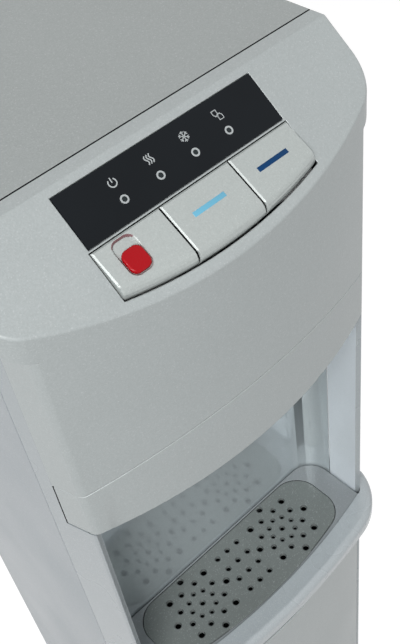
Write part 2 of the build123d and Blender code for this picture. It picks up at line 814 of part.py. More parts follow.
# Top lid: a shallow cover with a skirt, rounded rear corners and two stiffening ribs
lid_front_y = seam_y + shut_gap
with BuildPart() as top_lid:
    with BuildSketch(Plane.XY.offset(skirt_bottom)) as cover:
        with Locations((0, lid_front_y)):
            Rectangle(cap_width, lid_rear_y - lid_front_y, align=(Align.CENTER, Align.MIN))
        fillet(cover.vertices().group_by(Axis.Y)[-1], radius=cap_corner_radius / 2)
    extrude(amount=cap_skirt)
    crown = top_lid.faces().sort_by(Axis.Z)[-1].edges()
    fillet([e for e in crown if e.center().Y > lid_front_y + shut_gap], radius=cap_round)
    with BuildSketch(Plane.XY.offset(skirt_bottom)) as inside:
        with Locations((0, lid_front_y + wall)):
            inside_deep = lid_rear_y - lid_front_y - 2 * wall
            Rectangle(cap_width - 2 * wall, inside_deep, align=(Align.CENTER, Align.MIN))
        fillet(inside.vertices().group_by(Axis.Y)[-1], radius=cap_corner_radius / 2 - wall)
    extrude(amount=cap_skirt - wall, mode=Mode.SUBTRACT)
    front_skirt = skirt_bottom + cap_skirt / 2
    room_half = half_cap - wall
    room_back = lid_front_y + wall
    block(-room_half, room_half, lid_front_y, room_back, skirt_bottom, front_skirt, Mode.SUBTRACT)
    rib_low = overall_height - 3 * wall
    for rib_x in (-lid_rib_x, lid_rib_x):
        near = rib_x - wall / 2
        block(near, near + wall, lid_front_y + wall, lid_rear_y - wall, rib_low, overall_height - wall)
write(top_lid, "top_lid")

# Cabinet door: a bowed slab with round ends, hollow at the back, with a finger notch at the top
door_low = base_top + sill_height + 2 * door_gap
door_high = shelf_bottom - 2 * door_gap
door_radius = bow_radius - door_thickness / 2
door_swing = degrees(asin(pin_x / door_radius))
with BuildPart() as cabinet_door:
    with BuildSketch(Plane.XY.offset(door_low)) as slab:
        SlotArc(CenterArc((0, bow_centre_y), door_radius, 270 - door_swing, 2 * door_swing), door_thickness)
    extrude(amount=door_high - door_low)
    pocket_radius = bow_radius - door_skin - door_thickness / 2
    pocket_swing = degrees(asin((pin_x - 2 * door_frame) / pocket_radius))
    field = (door_high - door_low - notch_depth - 5 * door_skin - 2 * door_frame) / 3
    for row in range(3):
        with BuildSketch(Plane.XY.offset(door_low + door_frame + row * (field + door_skin))) as pocket:
            arc = CenterArc((0, bow_centre_y), pocket_radius, 270 - pocket_swing, 2 * pocket_swing)
            SlotArc(arc, door_thickness)
        extrude(amount=field, mode=Mode.SUBTRACT)
    with BuildSketch(Plane.XZ.offset(-niche_back_y)) as notch:
        with Locations((0, door_high)):
            SlotOverall(notch_width, 2 * notch_depth)
    extrude(amount=wide, mode=Mode.SUBTRACT)
    with Locations((pin_x, pin_y, door_low), (pin_x, pin_y, door_high)):
        Cylinder(door_pin_radius + running_gap, 2 * door_frame, mode=Mode.SUBTRACT)
write(cabinet_door, "cabinet_door")

with BuildPart() as door_pins:
    with Locations((pin_x, pin_y, base_top + door_pin_grip)):
        Cylinder(
            door_pin_radius,
            door_low + door_frame - 2 * door_gap - base_top - door_pin_grip,
            align=(Align.CENTER, Align.CENTER, Align.MIN),
        )
    with Locations((pin_x, pin_y, shelf_top - sheet)):
        Cylinder(
            door_pin_radius,
            shelf_top - sheet - door_high + door_frame - 2 * door_gap,
            align=(Align.CENTER, Align.CENTER, Align.MAX),
        )
write(door_pins, "door_pins")

# Magnet catch under the tray shelf, behind the free edge of the door
catch_x = -pin_x
catch_y = bow_centre_y - sqrt((bow_radius - door_thickness) ** 2 - catch_x**2) + fit_gap
with BuildPart() as door_catch:
    catch_low = shelf_bottom - catch_height
    block(catch_x, catch_x + catch_width, catch_y, catch_y + catch_depth, catch_low, shelf_bottom)
    fillet(door_catch.edges().filter_by(Axis.Z), radius=door_skin / 2)
write(door_catch, "door_catch")

# Base pan, feet and the platform that the bottle stands on
pan_half = panel_inner - fit_gap
pan_back_y = back_inner - sheet - fit_gap
with BuildPart() as base_pan:
    extrude(body_plan(foot_height, side_seam_y, sheet), amount=base_sheet)
    block(-pan_half, pan_half, side_seam_y - sheet, pan_back_y, foot_height, base_top)
    for edge_x in (-pan_half, pan_half - base_sheet):
        pan_high = base_top + base_flange
        block(edge_x, edge_x + base_sheet, side_seam_y + flange, back_inner - flange, base_top, pan_high)
write(base_pan, "base_pan")

foot_x = half_body - foot_inset
with BuildPart() as feet:
    with BuildSketch(Plane.XZ) as foot_half:
        with BuildLine():
            Polyline(
                (0, 0),
                (foot_radius, 0),
                (foot_radius, foot_pad),
                (foot_stem, 2 * foot_pad),
                (foot_stem, foot_height),
                (0, foot_height),
                close=True,
            )
        make_face()
    foot = revolve(foot_half.sketch, axis=Axis.Z, mode=Mode.PRIVATE)
    with GridLocations(2 * foot_x, 2 * foot_y, 2, 2):
        add(foot)
write(feet, "feet")

platform_half = panel_inner - platform_gap
platform_front = sill_back_y + shut_gap
platform_back = back_inner - flange
platform_middle = (platform_front + platform_back) / 2
with BuildPart() as bottle_platform:
    with BuildSketch(Plane.XY.offset(base_top)) as deck:
        with Locations((0, platform_middle)):
            RectangleRounded(2 * platform_half, platform_back - platform_front, 4 * wall)
    extrude(amount=platform_height)
    with Locations((0, platform_middle, base_top + platform_height)):
        Cylinder(seat_radius, 2 * wall, mode=Mode.SUBTRACT)
    with BuildSketch(Plane.XY.offset(base_top)) as underside:
        with Locations((0, platform_middle)):
            with GridLocations(2 * platform_half / 3, (platform_back - platform_front) / 3, 3, 3):
                Rectangle(2 * platform_half / 3 - 2 * wall, (platform_back - platform_front) / 3 - 2 * wall)
    extrude(amount=platform_height - 3 * wall, mode=Mode.SUBTRACT)
write(bottle_platform, "bottle_platform")

# Bulkhead over the bottle bay and the shelf under the cold tank, both bent from sheet
stub_x = compressor_radius / 2
pipe_holes = ((condenser_half, compressor_y + stub_x), (condenser_half, compressor_y - stub_x))
for name, level, shelf_front, holes in (
    ("bay_bulkhead", shelf_bottom, side_seam_y + flange, ((pump_x, pump_y),)),
    ("tank_shelf", tank_shelf_top, niche_back_y - flange, pipe_holes),
):
    with BuildPart() as sheet_shelf:
        block(-panel_inner, panel_inner, shelf_front, back_inner - sheet, level - sheet, level)
        for edge_x in (-panel_inner, panel_inner - sheet):
            fold_front = niche_back_y + flange
            fold_back = back_inner - flange
            block(edge_x, edge_x + sheet, fold_front, fold_back, level - bay_flange, level)
        with Locations(*((x, y, level) for x, y in holes)):
            Cylinder(barb_radius + fit_gap, 3 * sheet, mode=Mode.SUBTRACT)
    write(sheet_shelf, name)

# Cold tank in its block of foam, closed by a foam plug
cold_low = tank_shelf_top + foam_wall
tank_y = (foam_front_y + foam_back_y) / 2
foam_top = tank_shelf_top + foam_height
with BuildPart() as cold_tank_foam:
    block(-foam_half, foam_half, foam_front_y, foam_back_y, tank_shelf_top, foam_top)
    fillet(cold_tank_foam.edges().filter_by(Axis.Z), radius=foam_wall)
    with Locations((0, tank_y, cold_low)):
        Cylinder(
            cold_tank_radius + fit_gap,
            foam_height,
            align=(Align.CENTER, Align.CENTER, Align.MIN),
            mode=Mode.SUBTRACT,
        )
write(cold_tank_foam, "cold_tank_foam")

with BuildPart() as cold_tank:
    with Locations((0, tank_y, cold_low)):
        Cylinder(cold_tank_radius, cold_tank_height, align=(Align.CENTER, Align.CENTER, Align.MIN))
    fillet(cold_tank.edges().filter_by(GeomType.CIRCLE), radius=tank_round)
    inner_radius = cold_tank_radius - tank_sheet
    with Locations((0, tank_y, cold_low + tank_sheet)):
        Cylinder(
            inner_radius - tank_round,
            cold_tank_height - tank_sheet,
            align=(Align.CENTER, Align.CENTER, Align.MIN),
            mode=Mode.SUBTRACT,
        )
    with Locations((0, tank_y, cold_low + tank_round)):
        Cylinder(
            inner_radius,
            cold_tank_height - 2 * tank_round,
            align=(Align.CENTER, Align.CENTER, Align.MIN),
            mode=Mode.SUBTRACT,
        )
write(cold_tank, "cold_tank")

with BuildPart() as cold_tank_foam_lid:
    block(-foam_half, foam_half, foam_front_y, foam_back_y, foam_top, foam_top + foam_lid)
    fillet(cold_tank_foam_lid.edges().filter_by(Axis.Z), radius=foam_wall)
    plug_tall = foam_top - cold_low - cold_tank_height
    with Locations((0, tank_y, foam_top)):
        Cylinder(cold_tank_radius, plug_tall - fit_gap, align=(Align.CENTER, Align.CENTER, Align.MAX))
write(cold_tank_foam_lid, "cold_tank_foam_lid")

# Hot tank with domed ends, its stand and two thermostats clipped to its side
with BuildPart() as hot_tank:
    with Locations((hot_x, hot_y, hot_base)):
        Cylinder(hot_radius, hot_height, align=(Align.CENTER, Align.CENTER, Align.MIN))
    fillet(hot_tank.edges().filter_by(GeomType.CIRCLE), radius=hot_dome)
    with Locations((hot_x, hot_y, hot_base + hot_height / 2)):
        Cylinder(hot_radius - tank_sheet, hot_height - 2 * hot_dome, mode=Mode.SUBTRACT)
        Cylinder(hot_radius - hot_dome, hot_height - 2 * tank_sheet, mode=Mode.SUBTRACT)
write(hot_tank, "hot_tank")

stand_radius = hot_radius - hot_dome
with BuildPart() as hot_tank_stand:
    with Locations((hot_x, hot_y, shelf_bottom)):
        Cylinder(stand_radius, hot_low, align=(Align.CENTER, Align.CENTER, Align.MIN))
        Cylinder(stand_radius + flange, stand_thickness, align=(Align.CENTER, Align.CENTER, Align.MIN))
    with Locations((hot_x, hot_y, shelf_bottom)):
        Cylinder(stand_radius - stand_thickness, wide, mode=Mode.SUBTRACT)
    with Locations((hot_x, hot_y, shelf_bottom + hot_low / 2)):
        with PolarLocations(stand_radius, 4, start_angle=45):
            Box(stand_radius, stand_radius, hot_low / 2, mode=Mode.SUBTRACT)
write(hot_tank_stand, "hot_tank_stand")

with BuildPart() as hot_tank_thermostats:
    for level in (hot_base + hot_height / 2, hot_base + hot_height / 2 + 3 * thermostat_radius):
        with BuildSketch(Plane.XZ.offset(-hot_y)) as disc:
            with Locations((hot_x, level)):
                Circle(thermostat_radius)
        extrude(amount=hot_radius + thermostat_radius)
    with Locations((hot_x, hot_y, hot_base)):
        Cylinder(
            hot_radius + running_gap,
            hot_height,
            align=(Align.CENTER, Align.CENTER, Align.MIN),
            mode=Mode.SUBTRACT,
        )
write(hot_tank_thermostats, "hot_tank_thermostats")

# Compressor on four rubber grommets, with its terminal cover
compressor_base = shelf_bottom + grommet_height
compressor_top = compressor_base + compressor_plate + compressor_height
with BuildPart() as compressor:
    with BuildSketch(Plane.XY.offset(compressor_base)) as mount_plate:
        with Locations((compressor_x, compressor_y)):
            RectangleRounded(2 * compressor_foot, compressor_plate_depth, grommet_radius)
    extrude(amount=compressor_plate)
    with Locations((compressor_x, compressor_y, compressor_base + compressor_plate)):
        Cylinder(compressor_radius, compressor_height, align=(Align.CENTER, Align.CENTER, Align.MIN))
    fillet(compressor.edges().filter_by(GeomType.CIRCLE).sort_by(Axis.Z)[-1], radius=compressor_dome)
    seam_level = compressor_base + compressor_height / 2
    with Locations((compressor_x, compressor_y, seam_level)):
        Cylinder(compressor_radius + sheet, 2 * wall)
write(compressor, "compressor")

with BuildPart() as compressor_grommets:
    with Locations((compressor_x, compressor_y, shelf_bottom)):
        grommet_x = 2 * compressor_foot - 2 * grommet_radius
        grommet_y = compressor_plate_depth - 2 * grommet_radius
        with GridLocations(grommet_x, grommet_y, 2, 2):
            Cylinder(grommet_radius, grommet_height, align=(Align.CENTER, Align.CENTER, Align.MIN))
    fillet(compressor_grommets.edges().filter_by(GeomType.CIRCLE), radius=sheet)
write(compressor_grommets, "compressor_grommets")

with BuildPart() as compressor_terminal_cover:
    cover_out = compressor_y - compressor_radius - terminal_depth
    block(
        compressor_x - terminal_width / 2,
        compressor_x + terminal_width / 2,
        cover_out,
        compressor_y - compressor_radius / 2,
        seam_level + 2 * wall,
        seam_level + 2 * wall + terminal_height,
    )
    fillet(compressor_terminal_cover.faces().sort_by(Axis.Y)[0].edges(), radius=wall)
    with Locations((compressor_x, compressor_y, seam_level)):
        Cylinder(compressor_radius + running_gap, 2 * compressor_height, mode=Mode.SUBTRACT)
write(compressor_terminal_cover, "compressor_terminal_cover")

# Back panel with vents, and what passes through it
condenser_y = rear_y + condenser_standoff + condenser_tube
condenser_top = condenser_low + (condenser_passes - 1) * condenser_pitch
panel_top = overall_height - cap_skirt / 3
with BuildPart() as back_panel:
    back_half = panel_inner - fit_gap
    block(-back_half, back_half, back_inner, rear_y, base_top, panel_top)
    with BuildSketch(Plane.XZ.offset(-back_inner)) as vents:
        with Locations((0, compressor_top)):
            with GridLocations(vent_pitch_x, vent_pitch_z, vent_columns, vent_rows):
                SlotOverall(vent_length, vent_height)
        with Locations((condenser_half, condenser_top)):
            Circle(condenser_tube + sheet)
        with Locations((-condenser_half, condenser_low)):
            Circle(condenser_tube + sheet)
        with Locations((hot_x, service_z)):
            Circle(drain_radius + fit_gap)
        with Locations((gland_x, service_z)):
            Circle(gland_radius + fit_gap)
        with Locations((switch_x, service_z)):
            Rectangle(switch_width + 2 * fit_gap, switch_height + 2 * fit_gap)
    extrude(amount=-sheet, mode=Mode.SUBTRACT)
write(back_panel, "back_panel")

# Condenser: one tube folded back and forth, with upright wires on both sides of it
bend = condenser_pitch / 2 - sheet
tail_y = back_inner - flange
drier_start = drier_room - condenser_half
path_points = [(drier_start, condenser_y, condenser_low)]
for row in range(condenser_passes - 1):
    turn_x = condenser_half if row % 2 == 0 else -condenser_half
    path_points.append((turn_x, condenser_y, condenser_low + row * condenser_pitch))
    path_points.append((turn_x, condenser_y, condenser_low + (row + 1) * condenser_pitch))
path_points.append((condenser_half, condenser_y, condenser_top))
path_points.append((condenser_half, tail_y, condenser_top))
with BuildPart() as condenser:
    with BuildLine() as fold_path:
        radii = [bend] * (len(path_points) - 3) + [condenser_standoff]
        FilletPolyline(*path_points, radius=radii)
    with BuildSketch(Plane(fold_path.wires()[0] @ 0, z_dir=fold_path.wires()[0] % 0)) as tube_end:
        Circle(condenser_tube)
    sweep(path=fold_path.wires()[0])
write(condenser, "condenser")

wire_low = condenser_low + condenser_pitch / 2
wire_tall = condenser_top + condenser_pitch / 2 - wire_low
wire_off = condenser_tube + wire / 2 + running_gap / 2
wire_pitch = 2 * (condenser_half - condenser_pitch / 2) / (wire_count - 1)
with BuildPart() as condenser_wires:
    for side_y in (condenser_y - wire_off, condenser_y + wire_off):
        with Locations((0, side_y, wire_low + wire_tall / 2)):
            with GridLocations(wire_pitch, 1, wire_count, 1):
                Box(wire, wire, wire_tall)
write(condenser_wires, "condenser_wires")

bracket_depth = condenser_y - wire_off - wire / 2 - running_gap / 2 - rear_y
with BuildPart() as condenser_brackets:
    for level in (wire_low + condenser_pitch, condenser_top - condenser_pitch / 2):
        for side_x in (-wire_pitch * (wire_count // 2 - 1), wire_pitch * (wire_count // 2 - 1)):
            with Locations((side_x, rear_y + bracket_depth / 2, level)):
                Box(bracket_width, bracket_depth, bracket_height)
    fillet(condenser_brackets.edges().filter_by(Axis.Y), radius=wall)
write(condenser_brackets, "condenser_brackets")

# Filter drier at the foot of the condenser, with the capillary that goes back inside
drier_end = drier_start - running_gap
with BuildPart() as filter_drier:
    with BuildSketch(Plane.XY.offset(condenser_low)) as drier_half:
        with BuildLine():
            Polyline(
                (drier_end, condenser_y),
                (drier_end, condenser_y + condenser_tube),
                (drier_end - drier_neck, condenser_y + drier_radius),
                (drier_end - drier_length, condenser_y + drier_radius),
                (drier_end - drier_length - drier_neck, condenser_y + capillary_radius),
                (drier_end - drier_length - drier_neck, condenser_y),
                close=True,
            )
        make_face()
    revolve(axis=Axis((0, condenser_y, condenser_low), (1, 0, 0)))
    with BuildLine() as capillary:
        FilletPolyline(
            (drier_end - drier_length - drier_neck + sheet, condenser_y, condenser_low),
            (-condenser_half, condenser_y, condenser_low),
            (-condenser_half, tail_y + flange / 2, condenser_low),
            radius=condenser_standoff,
        )
    with BuildSketch(Plane(capillary.wires()[0] @ 0, z_dir=capillary.wires()[0] % 0)) as capillary_end:
        Circle(capillary_radius)
    sweep(path=capillary.wires()[0])
write(filter_drier, "filter_drier")

# Refrigerant pipes between compressor, condenser and cold tank
dome_top = compressor_top + running_gap
riser_y = compressor_y + stub_x
for name, route in (
    (
        "discharge_pipe",
        (
            (compressor_x + stub_x, compressor_y, dome_top),
            (compressor_x + stub_x, compressor_y, dome_top + pipe_rise),
            (condenser_half, riser_y, dome_top + pipe_rise),
            (condenser_half, riser_y, condenser_top),
            (condenser_half, tail_y - running_gap, condenser_top),
        ),
    ),
    (
        "suction_pipe",
        (
            (compressor_x - stub_x, compressor_y, dome_top),
            (compressor_x - stub_x, compressor_y, dome_top + 1.5 * pipe_rise),
            (condenser_half, compressor_y - stub_x, dome_top + 1.5 * pipe_rise),
            (condenser_half, compressor_y - stub_x, cold_low + foam_wall),
            (foam_half + running_gap, compressor_y - stub_x, cold_low + foam_wall),
        ),
    ),
):
    with BuildPart() as pipe:
        with BuildLine() as pipe_route:
            FilletPolyline(*route, radius=pipe_bend)
        with BuildSketch(Plane(pipe_route.wires()[0] @ 0, z_dir=pipe_route.wires()[0] % 0)) as pipe_end:
            Circle(condenser_tube)
        sweep(path=pipe_route.wires()[0])
    write(pipe, name)

# Water pump on the bulkhead, with the barb for the bottle's hose under it
with BuildPart() as water_pump:
    with Locations((pump_x, pump_y, shelf_bottom)):
        Cylinder(pump_radius, pump_height, align=(Align.CENTER, Align.CENTER, Align.MIN))
        fillet(water_pump.edges().filter_by(GeomType.CIRCLE).sort_by(Axis.Z)[-1], radius=wall)
        Cylinder(pump_radius + wall, wall, align=(Align.CENTER, Align.CENTER, Align.MIN))
    with Locations((pump_x, pump_y, shelf_bottom)):
        Cylinder(barb_radius, barb_length, align=(Align.CENTER, Align.CENTER, Align.MAX))
        Cylinder(
            barb_radius - sheet,
            barb_length,
            align=(Align.CENTER, Align.CENTER, Align.MAX),
            mode=Mode.SUBTRACT,
        )
    with Locations((pump_x, pump_y, shelf_bottom + pump_height)):
        Cylinder(barb_radius, barb_length, align=(Align.CENTER, Align.CENTER, Align.MIN))
write(water_pump, "water_pump")

# Control box on the inside of the back panel
with BuildPart() as control_box:
    box_low = compressor_top + pipe_rise + 4 * wall
    block(-box_width / 2, box_width / 2, back_inner - box_depth, back_inner, box_low, box_low + box_height)
    fillet(control_box.edges().filter_by(Axis.Y), radius=wall)
    with BuildSketch(Plane.XZ.offset(-back_inner + box_depth)) as box_lid:
        with Locations((0, box_low + box_height / 2)):
            RectangleRounded(box_width - 2 * wall, box_height - 2 * wall, wall)
    extrude(amount=sheet)
write(control_box, "control_box")

# Switch bezel in the back panel with two rockers
bezel_face = rear_y + bezel_thickness
rocker_y = bezel_face - rocker_pivot
with BuildPart() as switch_bezel:
    with BuildSketch(Plane.XZ.offset(-bezel_face)) as bezel_plate:
        with Locations((switch_x, service_z)):
            RectangleRounded(switch_width + 4 * wall, switch_height + 4 * wall, wall)
    extrude(amount=bezel_thickness)
    chamfer(switch_bezel.faces().sort_by(Axis.Y)[-1].edges(), length=sheet / 2)
    half_switch = switch_width / 2
    bezel_back = back_inner - flange
    low_z = service_z - switch_height / 2
    block(switch_x - half_switch, switch_x + half_switch, bezel_back, rear_y, low_z, low_z + switch_height)
    with BuildSketch(Plane.XZ.offset(-bezel_face)) as wells:
        with Locations((switch_x, service_z)):
            with GridLocations(rocker_pitch, 1, 2, 1):
                Rectangle(rocker_width + 2 * fit_gap, rocker_height + 2 * fit_gap + 1)
    extrude(amount=rocker_pivot + 2 * wall, mode=Mode.SUBTRACT)
    pin_room = rocker_pitch + rocker_width + 4 * fit_gap + 2 * sheet
    with Locations(Location((switch_x, rocker_y, service_z), (0, 90, 0))):
        Cylinder(rocker_pin + running_gap, pin_room, mode=Mode.SUBTRACT)
write(switch_bezel, "switch_bezel")

tilt = radians(rocker_tilt)
for name, side in (("rocker_hot", -1), ("rocker_cold", 1)):
    middle_x = switch_x + side * rocker_pitch / 2
    with BuildPart() as rocker:
        half_high = rocker_height / 2
        rise = half_high * tan(tilt)
        outer_x = middle_x + rocker_width / 2
        rocker_side = Plane((outer_x, rocker_y, service_z), (0, sin(tilt), cos(tilt)), (-1, 0, 0))
        with BuildSketch(rocker_side) as rocker_shape:
            with BuildLine():
                Polyline(
                    (-half_high, -wall / 2),
                    (half_high, -wall / 2),
                    (half_high, rocker_pivot + rise),
                    (0, rocker_pivot),
                    (-half_high, rocker_pivot + rise),
                    close=True,
                )
            make_face()
        extrude(amount=rocker_width)
        with Locations(Location((middle_x, rocker_y, service_z), (0, 90, 0))):
            Cylinder(rocker_pin, rocker_width + 2 * fit_gap + 2 * sheet - running_gap)
    write(rocker, name)

# Cord gland, and the hot tank's drain with its cap
with BuildPart() as cord_gland:
    with BuildSketch(Plane.XY.offset(service_z)) as gland_half:
        with BuildLine():
            Polyline(
                (gland_x + gland_bore, back_inner - wall),
                (gland_x + gland_radius + wall, back_inner - wall),
                (gland_x + gland_radius + wall, back_inner - running_gap),
                (gland_x + gland_radius, back_inner - running_gap),
                (gland_x + gland_radius, rear_y + running_gap),
                (gland_x + gland_radius + wall, rear_y + running_gap),
                (gland_x + gland_radius + wall, rear_y + wall),
                (gland_x + gland_bore, rear_y + 2 * wall),
                close=True,
            )
        make_face()
    revolve(axis=Axis((gland_x, 0, service_z), (0, 1, 0)))
write(cord_gland, "cord_gland")

drain_end = rear_y + drain_reach
with BuildPart() as drain_spigot:
    with BuildSketch(Plane.XZ.offset(-drain_end)) as drain_tube:
        with Locations((hot_x, service_z)):
            Circle(drain_radius)
    extrude(amount=drain_end - hot_y)
    with BuildSketch(Plane.XZ.offset(-rear_y - wall)) as drain_flange:
        with Locations((hot_x, service_z)):
            Circle(drain_radius + 2 * wall)
    extrude(amount=wall)
    with BuildSketch(Plane.XZ.offset(-drain_end)) as drain_bore:
        with Locations((hot_x, service_z)):
            Circle(drain_radius - wall)
    extrude(amount=drain_end - back_inner, mode=Mode.SUBTRACT)
    with Locations((hot_x, hot_y, service_z)):
        Cylinder(hot_radius + running_gap, hot_height, mode=Mode.SUBTRACT)
write(drain_spigot, "drain_spigot")

with BuildPart() as drain_cap:
    cap_start = rear_y + 2 * wall
    with BuildSketch(Plane.XZ.offset(-drain_end - wall)) as cap_disc:
        with Locations((hot_x, service_z)):
            Circle(drain_radius + wall)
            with PolarLocations(drain_radius + wall, cap_flutes):
                Circle(sheet, mode=Mode.SUBTRACT)
    extrude(amount=drain_end + wall - cap_start)
    with BuildSketch(Plane.XZ.offset(-cap_start)) as cap_room:
        with Locations((hot_x, service_z)):
            Circle(drain_radius + running_gap)
    extrude(amount=cap_start - drain_end - running_gap, mode=Mode.SUBTRACT)
write(drain_cap, "drain_cap")
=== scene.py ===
import json
from itertools import product
from math import cos, pi, radians, sin

import bmesh
import bpy
from bpy.props import FloatProperty, FloatVectorProperty, IntProperty, PointerProperty
from mathutils import Matrix, Vector
from mathutils.bvhtree import BVHTree


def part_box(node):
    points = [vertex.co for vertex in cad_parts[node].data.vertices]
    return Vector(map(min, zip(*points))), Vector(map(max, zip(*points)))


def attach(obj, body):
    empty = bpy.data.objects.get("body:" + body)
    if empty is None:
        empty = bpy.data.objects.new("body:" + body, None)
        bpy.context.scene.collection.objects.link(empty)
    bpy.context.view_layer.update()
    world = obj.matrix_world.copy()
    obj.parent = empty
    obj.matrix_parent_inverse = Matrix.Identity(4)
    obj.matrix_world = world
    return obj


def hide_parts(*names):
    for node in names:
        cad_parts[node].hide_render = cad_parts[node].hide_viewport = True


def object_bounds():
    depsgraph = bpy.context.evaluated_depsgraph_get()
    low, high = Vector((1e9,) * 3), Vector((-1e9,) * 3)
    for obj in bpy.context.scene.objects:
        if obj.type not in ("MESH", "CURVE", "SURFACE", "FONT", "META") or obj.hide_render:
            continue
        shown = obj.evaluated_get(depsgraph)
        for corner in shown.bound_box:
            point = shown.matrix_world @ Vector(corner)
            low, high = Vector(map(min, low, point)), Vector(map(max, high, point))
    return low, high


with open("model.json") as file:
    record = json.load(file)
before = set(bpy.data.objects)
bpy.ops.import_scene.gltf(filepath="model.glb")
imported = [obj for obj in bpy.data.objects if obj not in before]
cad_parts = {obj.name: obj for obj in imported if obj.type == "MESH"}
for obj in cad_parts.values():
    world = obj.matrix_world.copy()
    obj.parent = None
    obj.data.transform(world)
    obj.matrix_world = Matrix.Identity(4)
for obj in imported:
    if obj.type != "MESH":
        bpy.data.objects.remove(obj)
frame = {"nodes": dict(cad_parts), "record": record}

bl_info = {
    "name": "Water cooler dressing",
    "version": (1, 0, 0),
    "blender": (4, 5, 0),
    "location": "3D View > Sidebar > Water cooler",
    "description": "Finishes, printed marks, fasteners and studio for a floor-standing water cooler",
    "category": "Object",
}

MM = 0.001
NODES = frame["nodes"]
SLOT_OF = {row["node"]: row["material_slot"] for row in frame["record"]["subparts"]}
BODY_OF = {
    node: body for body, members in frame["record"]["behaviour"]["bodies"].items() for node in members
}
CAD_BOX = [list(corner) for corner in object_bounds()]
GRILLE_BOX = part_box("drip_grille")

# The sloping control panel: where it folds away from the flat strip, and how steep it is
FOLD = Vector((0, -0.067, CAD_BOX[1][2]))
SLOPE_TILT = radians(38.66)
RAMP_TILT = SLOPE_TILT - radians(8.21)
RAMP_START = 45.2 * MM
RAMP_STEP = 0.8 * MM

# The seam between the fascia and each pillar: its corners in plan and its two ends, in millimetres,
# and the strip round it in which edges stay sharp
SIDE_SEAM = ((149.14, -92.8), (149.38, -92.0), (146.3, -92.0), (146.3, -92.8))
SIDE_SEAM_ENDS = (864.3, 1018.8)
SIDE_SEAM_INNER = 148.5
SIDE_SEAM_DEPTH = (-93, -91.9)
SIDE_SEAM_MARGIN = 5

# The well of the drip tray behind its lip, in millimetres: its front, the radius of its bow, its half width,
# its back, the level where its wall ends under the lip's rounding, and how deep its cutter is
WELL_FRONT = -133.0
WELL_BOW = 643.6
WELL_HALF = 140.0
WELL_BACK = -45.0
WELL_TOP = 561.5
WELL_CUT = 10.0
WELL_STEPS = 32

# Places that tell the faces in gaps, in the niche and at the lock from the others, in metres
LID_SEAM = -53 * MM
FASCIA_SEAM = -56 * MM
VISOR_REAR = -94 * MM
PILLAR_STEP = (-93 * MM, -91 * MM)
PILLAR_INNER = 140 * MM
NICHE_FOOT = 500 * MM
BUTTON_JOINTS = 40 * MM
OPENING_HALF = 84 * MM
LOCK_SLOT_SIDES = (-71 * MM, -52 * MM)

# The same for places down the slope and off it, in millimetres
LOCK_SLOT_REACH = (47, 75)
LOCK_SLOT_HEAD = 60
OPENING_REACH = (44, 92)
OPENING_HEAD = 50
OPENING_DEPTH = (-30, -0.3)
BUTTON_TOP = -3
PANEL_REACH = (-1, 92)
PANEL_SKIN = 0.8

# Nodes that a smoothly shaded copy stands in for, with the width of its rounded edges in millimetres
MOULDINGS = {
    "control_fascia": 0.5,
    "nozzle_visor": 0.5,
    "front_frame": 0.6,
    "top_lid": 0.9,
    "button_hot": 1.0,
    "button_room": 1.0,
    "button_cold": 1.0,
    "child_lock_slider": 0.0,
    "display_window": 0.0,
    "niche_liner": 0.4,
    "drip_tray": 0.5,
    "drip_grille": 0.9,
    "cabinet_door": 1.0,
    "side_panel_left": 0.4,
    "side_panel_right": 0.4,
    "back_panel": 0.0,
    "nozzle_hot": 0.3,
    "nozzle_room": 0.3,
    "nozzle_cold": 0.3,
    "feet": 0.5,
    "base_pan": 0.3,
    "bottle_platform": 0.6,
    "condenser": 0.0,
    "condenser_wires": 0.2,
    "condenser_brackets": 0.5,
    "filter_drier": 0.0,
    "switch_bezel": 0.3,
    "rocker_hot": 0.4,
    "rocker_cold": 0.4,
    "cord_gland": 0.3,
    "drain_spigot": 0.3,
    "drain_cap": 0.3,
    "door_catch": 0.4,
    "bay_bulkhead": 0.2,
    "water_pump": 0.3,
}


def linear(red, green, blue):
    """A colour written in 0 to 255 as Blender's linear values."""
    parts = (value / 255 for value in (red, green, blue))
    return tuple(p / 12.92 if p <= 0.04045 else ((p + 0.055) / 1.055) ** 2.4 for p in parts)


def paint(label, note, red, green, blue):
    """A colour that a user can change, with its default in 0 to 255."""
    return FloatVectorProperty(
        name=label,
        description=note,
        subtype="COLOR",
        size=3,
        min=0.0,
        max=1.0,
        default=linear(red, green, blue),
    )


def power(label, note, watts):
    """The power of a lamp that a user can change."""
    return FloatProperty(name=label, description=note, subtype="POWER", min=0.0, default=watts)


def length(label, note, millimetres):
    """A length that a user can change, with its default in millimetres."""
    return FloatProperty(
        name=label,
        description=note,
        subtype="DISTANCE",
        unit="LENGTH",
        min=0.0,
        default=millimetres * MM,
    )


